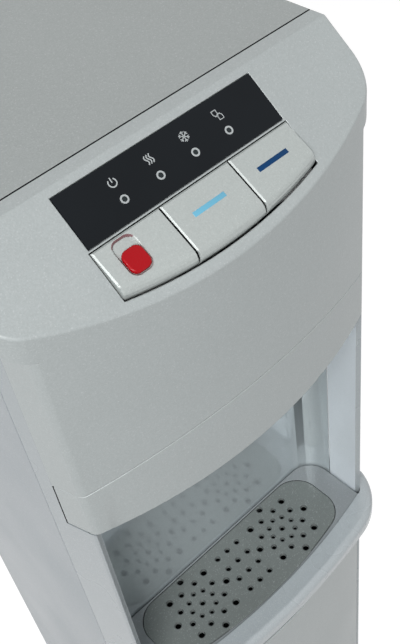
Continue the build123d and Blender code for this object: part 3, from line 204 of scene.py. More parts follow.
class CoolerFinishes(bpy.types.PropertyGroup):
    """Colours of the cooler's finishes, one for each material slot and print."""

    silver_lid: paint("Lid silver", "Satin silver of the top lid", 157, 162, 161)
    silver_panel: paint("Panel silver", "Satin silver of fascia, visor and door", 168, 174, 174)
    silver_frame: paint("Frame silver", "Gloss silver of the pillars", 154, 161, 164)
    silver_tray: paint("Tray silver", "Gloss silver of the drip tray", 170, 177, 180)
    tray_well: paint("Tray well", "Gloss grey of the tray behind its lip", 136, 141, 143)
    # Painted light: a lighter copy of the pillars' silver on their faces in the niche, for the light and
    # reflections there
    silver_inner: paint("Inner silver with painted light", "Gloss silver lightened with painted light on the pillars' faces in the niche", 214, 221, 226)
    silver_button: paint("Button silver", "Pale silver of the three buttons", 175, 181, 179)
    red_plastic: paint("Lock red", "Red of the lock slider and the hot rocker", 168, 6, 19)
    green_plastic: paint("Rocker green", "Green of the cold rocker", 24, 118, 56)
    display_black: paint("Window black", "Smoked black of the display window", 21, 25, 29)
    niche_grey: paint("Niche grey", "Gloss grey of the niche liner", 184, 193, 196)
    grille_grey: paint("Grille grey", "Satin grey of the drip grille", 112, 118, 116)
    # Painted shade: a darker grey on the dished rims round the grille's holes
    hole_rim: paint("Hole rim shade", "Painted shade on the dished rims in the grille", 78, 83, 82)
    side_metal: paint("Side paint", "Paint of the steel side panels", 136, 144, 149)
    zinc_sheet: paint("Zinc sheet", "Galvanised sheet of back, base and shelves", 160, 165, 170)
    steel: paint("Steel", "Bare steel of rods, pins and tanks", 172, 174, 176)
    black_rubber: paint("Rubber", "Black rubber of feet, grommets and gland", 26, 26, 28)
    black_metal: paint("Black paint", "Black paint of compressor and condenser", 22, 22, 24)
    copper: paint("Copper", "Copper of pipes and drier", 196, 116, 82)
    foam: paint("Foam", "Insulating foam round the cold tank", 232, 228, 216)
    black_plastic: paint("Black plastic", "Black plastic of pump, box and bezel", 30, 30, 33)
    board_green: paint("Board green", "Lacquer of the lamp board", 14, 82, 44)
    white_plastic: paint("White plastic", "White plastic of nozzles and platform", 222, 224, 224)
    print_white: paint("Print white", "White print of the panel's marks", 172, 177, 178)
    lens_grey: paint("Lamp grey", "Unlit lamp lens inside each ring", 40, 47, 49)
    bar_light: paint("Room bar", "Light blue bar of the room-temperature button", 107, 177, 205)
    bar_dark: paint("Cold bar", "Dark blue bar of the cold button", 14, 58, 101)
    # Painted shade with a painted red reflection of the lock slider, on the wall at the head of its slot
    slot_shade: paint("Lock slot", "Painted shade and red reflection at the head of the lock's slot", 128, 92, 96)
    # Painted shade: a dark colour on the walls and edges in gaps and in the tray under the grille, where
    # shade falls
    seam_dark: paint("Painted gap shade", "Painted shade inside gaps and under the grille", 22, 24, 25)


class CoolerDetails(bpy.types.PropertyGroup):
    """Sizes of the printed marks, bars and fasteners."""

    lamp_count: IntProperty(name="Lamps", description="Rings on the display window", default=4, min=1)
    lamp_pitch: length("Lamp pitch", "Distance from ring to ring", 28.6)
    lamp_down: length("Lamp place", "Distance of the rings down the slope", 29.8)
    lamp_radius: length("Lamp radius", "Outer radius of a ring", 2.9)
    mark_down: length("Mark place", "Distance of the marks down the slope", 17.9)
    mark_stroke: length("Mark stroke", "Width of the marks' strokes", 0.8)
    print_build: length("Print build", "Thickness of the printed ink", 0.06)
    bar_length: length("Bar length", "Length of a button's colour bar", 26.0)
    bar_width: length("Bar width", "Width of a button's colour bar", 3.5)
    bar_down: length("Bar place", "Distance of the bars down the ramp of the buttons", 15.9)
    bar_shift: length("Bar shift", "Distance of the bars to the left of their button's middle", 1.5)
    screw_radius: length("Screw radius", "Radius of the rear panel's screw heads", 4.0)
    screw_height: length("Screw height", "Height of the rear panel's screw heads", 2.2)


class CoolerStudio(bpy.types.PropertyGroup):
    """Camera and light of the studio."""

    lens: FloatProperty(name="Lens", description="Focal length", unit="CAMERA", default=52.74)
    key_power: power("Key light", "Softbox over the front", 95.0)
    edge_power: power("Edge light", "Strip that edges mirror", 10.0)
    fill_power: power("Fill light", "Softbox on the right", 13.0)
    back_power: power("Back light", "Softbox behind", 24.0)
    room_level: FloatProperty(name="Room light", description="Strength of the even room light", default=0.24)
    floor_shade: paint("Floor", "Shade of the floor where lamps light it", 122, 122, 122)


def on_slope(x, down, out):
    """A point on the control panel, given across, down the slope and off it, in metres."""
    return FOLD + Vector(
        (
            x,
            -down * cos(SLOPE_TILT) - out * sin(SLOPE_TILT),
            -down * sin(SLOPE_TILT) + out * cos(SLOPE_TILT),
        )
    )


def on_ramp(x, down, out):
    """A point on the ramp of the buttons, given across, down the ramp and off it, in metres."""
    return on_slope(x, RAMP_START, RAMP_STEP) + Vector(
        (
            0,
            -down * cos(RAMP_TILT) - out * sin(RAMP_TILT),
            -down * sin(RAMP_TILT) + out * cos(RAMP_TILT),
        )
    )


def put(tree, kind, inputs=None, **settings):
    """Add a node with its settings, and its inputs either as values or as links."""
    node = tree.nodes.new(kind)
    for name, value in settings.items():
        setattr(node, name, value)
    for name, value in (inputs or {}).items():
        if isinstance(value, bpy.types.NodeSocket):
            tree.links.new(value, node.inputs[name])
        else:
            node.inputs[name].default_value = value
    return node


def maths(tree, operation, first, second):
    """The output of a math node on two values or sockets."""
    return put(tree, "ShaderNodeMath", {0: first, 1: second}, operation=operation).outputs[0]


# Where most of the values of a noise texture lie
NOISE_MIDDLE = (0.3, 0.7)


def spread(tree, value, low, high, new_low, new_high):
    """A value that runs from low to high, spread over a new range."""
    names = ("Value", "From Min", "From Max", "To Min", "To Max")
    inputs = dict(zip(names, (value, low, high, new_low, new_high)))
    return put(tree, "ShaderNodeMapRange", inputs, clamp=True).outputs["Result"]


def noise(tree, vector, scale, detail):
    """The grey value of a noise texture."""
    inputs = {"Vector": vector, "Scale": scale, "Detail": detail}
    return put(tree, "ShaderNodeTexNoise", inputs, noise_dimensions="3D").outputs["Fac"]


def tinted(tree, colour, level):
    """A colour made lighter or darker by a level around 1."""
    return put(tree, "ShaderNodeVectorMath", {0: colour, "Scale": level}, operation="SCALE").outputs[0]


def blended(tree, share, first, second):
    """Two colours mixed by a share."""
    node = put(tree, "ShaderNodeMix", data_type="RGBA")
    for socket, value in ((node.inputs[0], share), (node.inputs[6], first), (node.inputs[7], second)):
        if isinstance(value, bpy.types.NodeSocket):
            tree.links.new(value, socket)
        else:
            socket.default_value = value
    return node.outputs[2]


def new_group(name, values):
    """A shader group with vector, colour and named values in, and colour, roughness and height out."""
    tree = bpy.data.node_groups.new(name, "ShaderNodeTree")
    tree.interface.new_socket("Vector", in_out="INPUT", socket_type="NodeSocketVector")
    tree.interface.new_socket("Colour", in_out="INPUT", socket_type="NodeSocketColor")
    for label in values:
        tree.interface.new_socket(label, in_out="INPUT", socket_type="NodeSocketFloat")
    tree.interface.new_socket("Colour", in_out="OUTPUT", socket_type="NodeSocketColor")
    for label in ("Roughness", "Height"):
        tree.interface.new_socket(label, in_out="OUTPUT", socket_type="NodeSocketFloat")
    return tree, tree.nodes.new("NodeGroupInput").outputs


def close_group(tree, colour, roughness, height):
    """Link a group's three results to its output."""
    put(tree, "NodeGroupOutput", {"Colour": colour, "Roughness": roughness, "Height": height})
    return tree


def flake_paint():
    """Silver plastic: fine metal flakes in the colour, a share of them painted white as glints, and a faint
    cloud in shade and gloss.
    """
    tree, given = new_group("flake_paint", ("Grain", "Sparkle", "Roughness", "Spread"))
    cells = put(tree, "ShaderNodeTexVoronoi", {"Vector": given["Vector"], "Scale": given["Grain"]})
    flake = put(tree, "ShaderNodeSeparateColor", {"Color": cells.outputs["Color"]})
    cloud = noise(tree, given["Vector"], 9.0, 3.0)
    fine = noise(tree, given["Vector"], 420.0, 2.0)
    level = maths(tree, "MULTIPLY", flake.outputs[1], given["Sparkle"])
    level = maths(tree, "SUBTRACT", level, maths(tree, "MULTIPLY", given["Sparkle"], 0.5))
    level = maths(tree, "ADD", level, spread(tree, cloud, *NOISE_MIDDLE, 0.975, 1.025))
    # A share of the flakes is blended towards white: painted glints
    glint = maths(tree, "MULTIPLY", spread(tree, flake.outputs[0], 0.9, 1.0, 0.0, 1.0), given["Sparkle"])
    colour = blended(tree, glint, tinted(tree, given["Colour"], level), (1.0, 1.0, 1.0, 1.0))
    high = maths(tree, "ADD", given["Roughness"], given["Spread"])
    roughness = spread(tree, cloud, *NOISE_MIDDLE, given["Roughness"], high)
    height = maths(tree, "ADD", maths(tree, "MULTIPLY", flake.outputs[2], 0.3), fine)
    return close_group(tree, colour, roughness, height)


def moulded_plastic():
    """Plain plastic: a faint cloud in the colour, a grained surface, and smudges in the gloss."""
    tree, given = new_group("moulded_plastic", ("Grain", "Cloud", "Roughness", "Spread"))
    cloud = noise(tree, given["Vector"], 16.0, 4.0)
    smudge = noise(tree, given["Vector"], 38.0, 5.0)
    low = maths(tree, "SUBTRACT", 1.0, given["Cloud"])
    level = spread(tree, cloud, *NOISE_MIDDLE, low, maths(tree, "ADD", 1.0, given["Cloud"]))
    high = maths(tree, "ADD", given["Roughness"], given["Spread"])
    roughness = spread(tree, smudge, 0.35, 0.75, given["Roughness"], high)
    height = noise(tree, given["Vector"], given["Grain"], 2.0)
    return close_group(tree, tinted(tree, given["Colour"], level), roughness, height)


def spangled_sheet():
    """Galvanised sheet: crystal spangles of different brightness, and dull patches."""
    tree, given = new_group("spangled_sheet", ("Grain", "Contrast", "Roughness", "Spread"))
    cells = put(tree, "ShaderNodeTexVoronoi", {"Vector": given["Vector"], "Scale": given["Grain"]})
    crystal = put(tree, "ShaderNodeSeparateColor", {"Color": cells.outputs["Color"]})
    dull = noise(tree, given["Vector"], 11.0, 5.0)
    low = maths(tree, "SUBTRACT", 1.0, given["Contrast"])
    level = spread(tree, crystal.outputs[0], 0.0, 1.0, low, maths(tree, "ADD", 1.0, given["Contrast"]))
    level = maths(tree, "MULTIPLY", level, spread(tree, dull, *NOISE_MIDDLE, 0.92, 1.05))
    high = maths(tree, "ADD", given["Roughness"], given["Spread"])
    roughness = spread(tree, crystal.outputs[1], 0.0, 1.0, given["Roughness"], high)
    return close_group(tree, tinted(tree, given["Colour"], level), roughness, crystal.outputs[2])


def drawn_metal():
    """Drawn or brushed metal: streaks along the height, and tarnish in patches."""
    tree, given = new_group("drawn_metal", ("Grain", "Tarnish", "Roughness", "Spread"))
    along = put(
        tree, "ShaderNodeVectorMath", {0: given["Vector"], 1: (1.0, 1.0, 0.02)}, operation="MULTIPLY"
    ).outputs[0]
    streak = noise(tree, along, given["Grain"], 3.0)
    stain = spread(tree, noise(tree, given["Vector"], 24.0, 6.0), 0.45, 0.75, 0.0, 1.0)
    level = spread(tree, streak, *NOISE_MIDDLE, 0.9, 1.08)
    level = maths(tree, "SUBTRACT", level, maths(tree, "MULTIPLY", stain, given["Tarnish"]))
    high = maths(tree, "ADD", given["Roughness"], given["Spread"])
    roughness = spread(tree, streak, 0.25, 0.75, given["Roughness"], high)
    return close_group(tree, tinted(tree, given["Colour"], level), roughness, streak)


# How each slot is finished: its group, the group's values, the shader's own constants, and its bump
FINISHES = {
    "silver_lid": ("flake_paint", (1300, 0.13, 0.38, 0.08), {"Metallic": 0.12}, 0.03),
    "silver_panel": ("flake_paint", (1300, 0.10, 0.34, 0.08), {"Metallic": 0.12}, 0.02),
    "silver_frame": ("flake_paint", (1500, 0.10, 0.24, 0.06), {"Metallic": 0.12, "Coat Weight": 0.3}, 0.012),
    "silver_tray": ("flake_paint", (1500, 0.10, 0.24, 0.06), {"Metallic": 0.12, "Coat Weight": 0.3}, 0.012),
    "tray_well": ("flake_paint", (1500, 0.08, 0.18, 0.06), {"Metallic": 0.12, "Coat Weight": 0.3}, 0.012),
    # Painted light on the pillars' faces in the niche
    "silver_inner": ("flake_paint", (1500, 0.06, 0.16, 0.05), {"Metallic": 0.12, "Coat Weight": 0.4}, 0.008),
    "silver_button": ("flake_paint", (1500, 0.10, 0.28, 0.06), {"Metallic": 0.15}, 0.012),
    "red_plastic": ("moulded_plastic", (700, 0.05, 0.18, 0.10), {"Specular IOR Level": 0.2}, 0.02),
    "green_plastic": ("moulded_plastic", (700, 0.05, 0.20, 0.10), {"Coat Weight": 0.3}, 0.02),
    "display_black": ("moulded_plastic", (300, 0.10, 0.12, 0.06), {"Specular IOR Level": 0.12}, 0.004),
    "niche_grey": ("flake_paint", (1500, 0.06, 0.08, 0.03), {"Metallic": 0.34, "Coat Weight": 0.6}, 0.006),
    "grille_grey": ("flake_paint", (1300, 0.12, 0.34, 0.10), {"Metallic": 0.10}, 0.03),
    # Painted shade on the rims of the grille's holes
    "hole_rim": ("flake_paint", (1300, 0.10, 0.40, 0.10), {"Metallic": 0.10}, 0.02),
    "side_metal": ("flake_paint", (1300, 0.12, 0.28, 0.08), {"Metallic": 0.12}, 0.04),
    "zinc_sheet": ("spangled_sheet", (95, 0.12, 0.30, 0.18), {"Metallic": 0.85}, 0.01),
    "steel": ("drawn_metal", (900, 0.06, 0.22, 0.16), {"Metallic": 1.0}, 0.02),
    "black_rubber": ("moulded_plastic", (900, 0.18, 0.62, 0.20), {"Specular IOR Level": 0.35}, 0.10),
    "black_metal": ("moulded_plastic", (500, 0.15, 0.34, 0.16), {"Coat Weight": 0.15}, 0.03),
    "copper": ("drawn_metal", (700, 0.22, 0.24, 0.20), {"Metallic": 1.0}, 0.02),
    "foam": ("spangled_sheet", (650, 0.05, 0.80, 0.15), {"Specular IOR Level": 0.2}, 0.30),
    "black_plastic": ("moulded_plastic", (1500, 0.12, 0.46, 0.14), {}, 0.10),
    "board_green": ("spangled_sheet", (260, 0.10, 0.30, 0.15), {}, 0.02),
    "white_plastic": ("moulded_plastic", (800, 0.03, 0.32, 0.12), {}, 0.03),
    "print_white": ("moulded_plastic", (2400, 0.05, 0.45, 0.15), {}, 0.04),
    "lens_grey": ("moulded_plastic", (600, 0.12, 0.20, 0.08), {"Specular IOR Level": 0.15}, 0.01),
    "bar_light": ("moulded_plastic", (900, 0.04, 0.30, 0.10), {}, 0.02),
    "bar_dark": ("moulded_plastic", (900, 0.06, 0.30, 0.10), {"Specular IOR Level": 0.15}, 0.02),
    # Painted shade and a painted red reflection at the head of the lock's slot
    "slot_shade": ("moulded_plastic", (900, 0.10, 0.40, 0.10), {}, 0.02),
    # Painted shade in gaps and in the tray under the grille
    "seam_dark": ("moulded_plastic", (900, 0.15, 0.60, 0.15), {"Specular IOR Level": 0.2}, 0.05),
}
BUMP_DEPTH = 0.2 * MM


def make_finish(name, colour, groups):
    """One material on object coordinates, from its group and the row in FINISHES."""
    group, values, constants, bump = FINISHES[name]
    material = bpy.data.materials.new(f"{name}_finish")
    material.use_nodes = True
    tree = material.node_tree
    shader = tree.nodes["Principled BSDF"]
    place = put(tree, "ShaderNodeTexCoord").outputs["Object"]
    surface = put(tree, "ShaderNodeGroup", node_tree=groups[group])
    tree.links.new(place, surface.inputs["Vector"])
    surface.inputs["Colour"].default_value = (*colour, 1.0)
    for socket, value in zip(list(surface.inputs)[2:], values):
        socket.default_value = value
    tree.links.new(surface.outputs["Colour"], shader.inputs["Base Color"])
    tree.links.new(surface.outputs["Roughness"], shader.inputs["Roughness"])
    inputs = {"Height": surface.outputs["Height"], "Strength": bump, "Distance": BUMP_DEPTH}
    tree.links.new(put(tree, "ShaderNodeBump", inputs).outputs["Normal"], shader.inputs["Normal"])
    for socket, value in constants.items():
        shader.inputs[socket].default_value = value
    return material


def finish(name):
    """The finished material of that name."""
    material = bpy.data.materials.get(f"{name}_finish")
    if material is None:
        raise RuntimeError(f"the finish {name} has not been mixed yet")
    return material


def placed(name, data):
    """A new object of a mesh, lamp or camera, linked to the scene."""
    thing = bpy.data.objects.new(name, data)
    bpy.context.scene.collection.objects.link(thing)
    return thing


def new_piece(name, mesh, body, slot, *finishes):
    """Put a mesh in the scene as a piece that rides on a body, and coat it if it is still bare."""
    piece = placed(name, mesh)
    if not mesh.materials:
        for material in finishes:
            mesh.materials.append(finish(material))
    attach(piece, body)
    return piece


def mesh_of(shape, name):
    """Turn a bmesh into a mesh and free it."""
    mesh = bpy.data.meshes.new(name)
    shape.to_mesh(mesh)
    shape.free()
    return mesh


def evaluated(thing, name):
    """The object's mesh with its modifiers applied."""
    bpy.context.view_layer.update()
    source = thing.evaluated_get(bpy.context.evaluated_depsgraph_get())
    mesh = bpy.data.meshes.new_from_object(source)
    mesh.name = name
    return mesh


def cut_out(name, blank, cutter, crossing=False):
    """What is left of a bmesh after a cutter, which may cross itself. Both are used up."""
    body = placed(f"{name}_blank", mesh_of(blank, f"{name}_blank"))
    tool = placed(f"{name}_cutter", mesh_of(cutter, f"{name}_cutter"))
    cut = body.modifiers.new("Cut", "BOOLEAN")
    cut.operation = "DIFFERENCE"
    cut.solver = "EXACT"
    cut.use_self = crossing
    cut.object = tool
    mesh = evaluated(body, f"{name}_cut")
    for helper in (body, tool):
        bpy.data.objects.remove(helper)
    shape = bmesh.new()
    shape.from_mesh(mesh)
    return shape


# Faces that meet at more than this angle keep a sharp edge between them
SMOOTH_ANGLE = radians(32)


def off_slope(spot):
    """How far a point lies down the slope and off it, in millimetres."""
    away = (spot - FOLD) / MM
    down = -away.y * cos(SLOPE_TILT) - away.z * sin(SLOPE_TILT)
    return down, away.z * cos(SLOPE_TILT) - away.y * sin(SLOPE_TILT)


RAMP_NORMAL = Vector((0, -sin(RAMP_TILT), cos(RAMP_TILT)))


def off_ramp(face):
    """How far a face lies off the ramp of the buttons, in millimetres."""
    return (face.calc_center_median() - on_ramp(0, 0, 0)).dot(RAMP_NORMAL) / MM


def lid_seam(spot, normal):
    """The lid's front wall and its edge, inside the gap to the fascia, which take painted shade."""
    return normal.y < -0.3 and spot.y < LID_SEAM


def in_lock_slot(spot):
    """Whether a point lies at the slot for the lock slider."""
    left, right = LOCK_SLOT_SIDES
    head, foot = LOCK_SLOT_REACH
    return left < spot.x < right and head < off_slope(spot)[0] < foot


def button_seam(spot, normal):
    """A button's walls beside its neighbours, behind it and below the slope, which take painted shade."""
    _, out = off_slope(spot)
    if in_lock_slot(spot):
        return False
    beside = abs(spot.x) < BUTTON_JOINTS and (normal.x > 0.45 or normal.x < -0.95)
    return beside or normal.y > 0.6 or (out < -0.5 and abs(normal.x) > 0.8)


def fascia_seam(spot, normal):
    """The walls of the fascia's button opening and its edge beside the lid, which take painted shade."""
    down, out = off_slope(spot)
    if normal.y > 0.3 and spot.y > FASCIA_SEAM:
        return True
    head, foot = OPENING_REACH
    floor, mouth = OPENING_DEPTH
    inside = abs(spot.x) < OPENING_HALF and head < down < foot and floor < out < mouth
    return inside and (normal.y > 0.2 or abs(normal.x) > 0.7 or down < OPENING_HEAD)


def visor_end(spot, normal):
    """The rear ends of the visor, inside the gaps to the pillars, which take painted shade."""
    return normal.y > 0.3 and spot.y > VISOR_REAR


def pillar_step(spot, normal):
    """The steps of the pillars behind the fascia and the visor, which take painted shade."""
    front, rear = PILLAR_STEP
    return normal.y < -0.9 and front < spot.y < rear


def everywhere(spot, normal):
    """Every face."""
    return True


def well_front(x):
    """How far forward the tray's well reaches at a place across, in millimetres."""
    return WELL_FRONT + WELL_BOW - (WELL_BOW**2 - x**2) ** 0.5


def in_well(spot, normal):
    """The floor of the tray's well and its wall behind the lip."""
    across, along, level = spot / MM
    inside = abs(across) < WELL_HALF and along > well_front(across) - 0.2
    return inside and GRILLE_BOX[1].z / MM - 0.5 < level < WELL_TOP


def dished_rim(spot, normal):
    """The rounded rims of the grille's holes, which lie well inside its outline and take painted shade."""
    low, high = GRILLE_BOX
    margin = 4 * MM
    across = low.x + margin < spot.x < high.x - margin
    along = low.y + margin < spot.y < high.y - margin / 2
    return across and along and 0.1 < normal.z < 0.98


def tray_inside(spot, normal):
    """The inside of the drip tray under its grille, which takes painted shade."""
    low, high = GRILLE_BOX
    inside = low.x - MM < spot.x < high.x + MM and low.y - MM < spot.y < high.y + MM
    return inside and spot.z < high.z - MM and normal.z > -0.5


def pillar_inside(spot, normal):
    """The faces of the two pillars that look into the niche, which take painted light."""
    inward = spot.x * normal.x < 0 and abs(normal.x) > 0.8
    return inward and abs(spot.x) < PILLAR_INNER and spot.z > NICHE_FOOT


def lock_slot_head(spot, normal):
    """The wall at the head of the lock's slot, which looks down the ramp and takes painted shade and a
    painted red reflection.
    """
    return in_lock_slot(spot) and normal.y < -0.6 and off_slope(spot)[0] < LOCK_SLOT_HEAD


# The faces that further finishes cover: painted shade in gaps and in the tray, painted shade and a painted
# red reflection at the lock slot's head, the tray, the well behind its lip, painted shade on the rims of the
# grille's holes, and the pillars' inner gloss with painted light
EXTRA_FINISHES = {
    "top_lid": {"seam_dark": lid_seam},
    "button_hot": {"seam_dark": button_seam, "slot_shade": lock_slot_head},
    "button_room": {"seam_dark": button_seam},
    "button_cold": {"seam_dark": button_seam},
    "control_fascia": {"seam_dark": fascia_seam},
    "nozzle_visor": {"seam_dark": visor_end},
    "drip_tray": {"silver_tray": everywhere, "tray_well": in_well, "seam_dark": tray_inside},
    "drip_grille": {"hole_rim": dished_rim},
    "front_frame": {"silver_inner": pillar_inside, "seam_dark": pillar_step},
}


# Mouldings whose edges take the full width of rounding, also beside edges shorter than it
FULL_WIDTH = (
    "button_hot",
    "button_room",
    "button_cold",
    "control_fascia",
    "nozzle_visor",
    "cabinet_door",
    "drip_grille",
)

# The ways in which an edge is looked at, and how far off it and how far out the look goes
WAYS = [Vector(way).normalized() for way in product((-1, 0, 1), repeat=3) if any(way)]
LOOK_OFF = 0.4 * MM
LOOK_FAR = 3.0


def whole_tree():
    """All the CAD nodes in one tree for casting rays."""
    corners, faces = [], []
    for thing in NODES.values():
        first = len(corners)
        corners += [vertex.co.copy() for vertex in thing.data.vertices]
        faces += [[first + index for index in face.vertices] for face in thing.data.polygons]
    return BVHTree.FromPolygons(corners, faces)


def shows(tree, edge):
    """Whether an edge can be seen from outside the cooler."""
    normal = (edge.link_faces[0].normal + edge.link_faces[1].normal).normalized()
    start = (edge.verts[0].co + edge.verts[1].co) / 2 + normal * LOOK_OFF
    ways = (way for way in WAYS if way.dot(normal) > 0.15)
    return any(tree.ray_cast(start, way, LOOK_FAR)[0] is None for way in ways)


def on_grille_top(edge):
    """Whether an edge lies in the grille's upper face, where all holes are dished."""
    return min(vert.co.z for vert in edge.verts) > GRILLE_BOX[1].z - 0.1 * MM


def on_button_top(edge):
    """Whether an edge runs round the top of a button, and not round the slot in it."""
    spots = [vertex.co for vertex in edge.verts]
    high = all(off_slope(spot)[1] > BUTTON_TOP for spot in spots)
    return high and not any(in_lock_slot(spot) for spot in spots)


def round_lock_slot(edge):
    """Whether an edge runs round the mouth of the lock's slot."""
    return all(in_lock_slot(vertex.co) for vertex in edge.verts) and any(
        face.normal.dot(RAMP_NORMAL) > 0.98 and off_ramp(face) > -0.5 for face in edge.link_faces
    )


def on_panel(edge):
    """Whether an edge lies on the sloping panel of the fascia."""
    places = [off_slope(vertex.co) for vertex in edge.verts]
    head, foot = PANEL_REACH
    return all(abs(out) < PANEL_SKIN and head < down < foot for down, out in places)


def in_side_seam(edge):
    """Whether an edge borders the seam between the fascia and a pillar."""
    spots = [vertex.co / MM for vertex in edge.verts]
    front, rear = SIDE_SEAM_DEPTH
    beside = all(abs(spot.x) > SIDE_SEAM_INNER and front < spot.y < rear for spot in spots)
    return beside and any(spot.z > SIDE_SEAM_ENDS[0] + SIDE_SEAM_MARGIN for spot in spots)


def with_well(shape):
    """The drip tray's mesh with the well cut in behind its lip, level with the grille."""
    across = [WELL_HALF * (2 * step / WELL_STEPS - 1) for step in range(WELL_STEPS + 1)]
    plan = [(x, well_front(x)) for x in across] + [(WELL_HALF, WELL_BACK), (-WELL_HALF, WELL_BACK)]
    cutter = bmesh.new()
    floor = cutter.faces.new([cutter.verts.new((x * MM, y * MM, GRILLE_BOX[1].z)) for x, y in plan])
    raised = bmesh.ops.extrude_face_region(cutter, geom=[floor])["geom"]
    tops = [item for item in raised if isinstance(item, bmesh.types.BMVert)]
    bmesh.ops.translate(cutter, verts=tops, vec=(0, 0, WELL_CUT * MM))
    bmesh.ops.recalc_face_normals(cutter, faces=cutter.faces)
    return cut_out("tray", shape, cutter)


def merged_copy(node):
    """A CAD node's mesh as a bmesh, with its loose triangles merged into whole faces."""
    shape = bmesh.new()
    shape.from_mesh(NODES[node].data)
    bmesh.ops.remove_doubles(shape, verts=shape.verts, dist=5e-6)
    flat = radians(3 if node.startswith("button") else 0.3)
    bmesh.ops.dissolve_limit(shape, angle_limit=flat, verts=shape.verts, edges=shape.edges)
    bmesh.ops.dissolve_degenerate(shape, dist=1e-5, edges=shape.edges)
    return shape


def edges_to_soften(node, shape, tree):
    """The sharp edges that get a flat chamfer, and those that are rounded."""
    sharp = [
        edge for edge in shape.edges if edge.is_manifold and edge.calc_face_angle_signed() > SMOOTH_ANGLE
    ]
    if node == "drip_grille":
        sharp = [edge for edge in sharp if on_grille_top(edge)]
    else:
        sharp = [edge for edge in sharp if shows(tree, edge)]
    sharp = [edge for edge in sharp if not in_side_seam(edge)]
    if node.startswith("button"):
        return [edge for edge in sharp if on_button_top(edge) or round_lock_slot(edge)], []
    flat = [edge for edge in sharp if node == "control_fascia" and on_panel(edge)]
    return flat, [edge for edge in sharp if edge not in flat]


CHAMFER_STEPS = 1
ROUND_STEPS = 3


def rounded_copy(node, width, tree):
    """A merged copy of a CAD node's mesh with its softened edges, further finishes and even shading."""
    shape = merged_copy(node)
    if node == "drip_tray":
        shape = with_well(shape)
    if width:
        flat, sharp = edges_to_soften(node, shape, tree)
        for edges, steps in ((flat, CHAMFER_STEPS), (sharp, ROUND_STEPS)):
            bmesh.ops.bevel(
                shape,
                geom=[edge for edge in edges if edge.is_valid],
                offset=width * MM,
                offset_type="OFFSET",
                segments=steps,
                profile=0.5,
                affect="EDGES",
                loop_slide=False,
                clamp_overlap=node not in FULL_WIDTH,
            )
    shape.normal_update()
    for index, covers in enumerate(EXTRA_FINISHES.get(node, {}).values(), 1):
        for face in shape.faces:
            if covers(face.calc_center_median(), face.normal):
                face.material_index = index
    mesh = mesh_of(shape, f"{node}_blank")
    mesh.shade_smooth()
    mesh.set_sharp_from_angle(angle=SMOOTH_ANGLE)
    blank = placed(f"{node}_blank", mesh)
    even = blank.modifiers.new("Even shading", "WEIGHTED_NORMAL")
    even.weight = 100
    even.keep_sharp = True
    even_mesh = evaluated(blank, f"{node}_skin")
    bpy.data.objects.remove(blank)
    return even_mesh


class MixFinishes(bpy.types.Operator):
    """Mix every finish and coat the carried-over nodes with it"""

    bl_idname = "water_cooler.mix_finishes"
    bl_label = "Mix finishes"

    def execute(self, context):
        colours = context.scene.cooler_finishes
        makers = (flake_paint, moulded_plastic, spangled_sheet, drawn_metal)
        groups = {maker.__name__: maker() for maker in makers}
        for name in FINISHES:
            make_finish(name, getattr(colours, name), groups)
        for node, thing in NODES.items():
            thing.data.materials.clear()
            thing.data.materials.append(finish(SLOT_OF[node]))
        return {"FINISHED"}


class RoundMouldings(bpy.types.Operator):
    """Stand rounded, smoothly shaded copies in for the mouldings that show"""

    bl_idname = "water_cooler.round_mouldings"
    bl_label = "Round mouldings"

    def execute(self, context):
        tree = whole_tree()
        for node, width in MOULDINGS.items():
            mesh = rounded_copy(node, width, tree)
            finishes = (SLOT_OF[node], *EXTRA_FINISHES.get(node, {}))
            piece = new_piece(f"{node}_skin", mesh, BODY_OF[node], SLOT_OF[node], *finishes)
            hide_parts(node)
        return {"FINISHED"}


class FillSeams(bpy.types.Operator):
    """Fill the seam between the fascia and each pillar flush with a strip"""

    bl_idname = "water_cooler.fill_seams"
    bl_label = "Fill side seams"

    def execute(self, context):
        shape = bmesh.new()
        for side in (-1, 1):
            rings = [
                [shape.verts.new(Vector((side * x, y, level)) * MM) for x, y in SIDE_SEAM]
                for level in SIDE_SEAM_ENDS
            ]
            low, high = rings
            shape.faces.new(low)
            shape.faces.new(high)
            for corner in range(4):
                turn = (corner + 1) % 4
                shape.faces.new((low[corner], low[turn], high[turn], high[corner]))
        bmesh.ops.recalc_face_normals(shape, faces=shape.faces)
        mesh = mesh_of(shape, "side_seam_strips")
        new_piece("side_seam_strips", mesh, "cabinet", "silver_panel", "silver_panel")
        return {"FINISHED"}


def stroke(shape, place, points, width, build, closed=False):
    """Add a flat printed stroke along points on a surface that place() maps to space."""
    count = len(points)
    rows = []
    for index, point in enumerate(points):
        before = points[index - 1] if index or closed else point
        after = points[(index + 1) % count] if index < count - 1 or closed else point
        back = (point - before).normalized() if point != before else (after - point).normalized()
        ahead = (after - point).normalized() if point != after else back
        side = (back + ahead).normalized()
        reach = width / 2 / max(0.4, side.dot(ahead))
        across = Vector((-side.y, side.x)) * reach
        row = []
        for corner, level in ((across, build), (-across, build), (-across, -build), (across, -build)):
            spot = point + corner
            row.append(shape.verts.new(place(spot.x, -spot.y, level)))
        rows.append(row)
    for index in range(count if closed else count - 1):
        first, second = rows[index], rows[(index + 1) % count]
        for corner in range(4):
            turn = (corner + 1) % 4
            shape.faces.new((first[corner], first[turn], second[turn], second[corner]))
    if not closed:
        shape.faces.new(rows[0][::-1])
        shape.faces.new(rows[-1])


def arc_points(radius, start, end, steps):
    """Points on an arc round the origin, by angles in degrees."""
    turns = (radians(start + (end - start) * step / steps) for step in range(steps + 1))
    return [Vector((radius * cos(turn), radius * sin(turn))) for turn in turns]


def power_mark():
    """Strokes of the mains mark: an open ring and a bar."""
    return [
        (arc_points(2.75 * MM, 130, 410, 32), False, 1.05),
        ([Vector((0, 0.1 * MM)), Vector((0, 3.5 * MM))], False, 1.05),
    ]


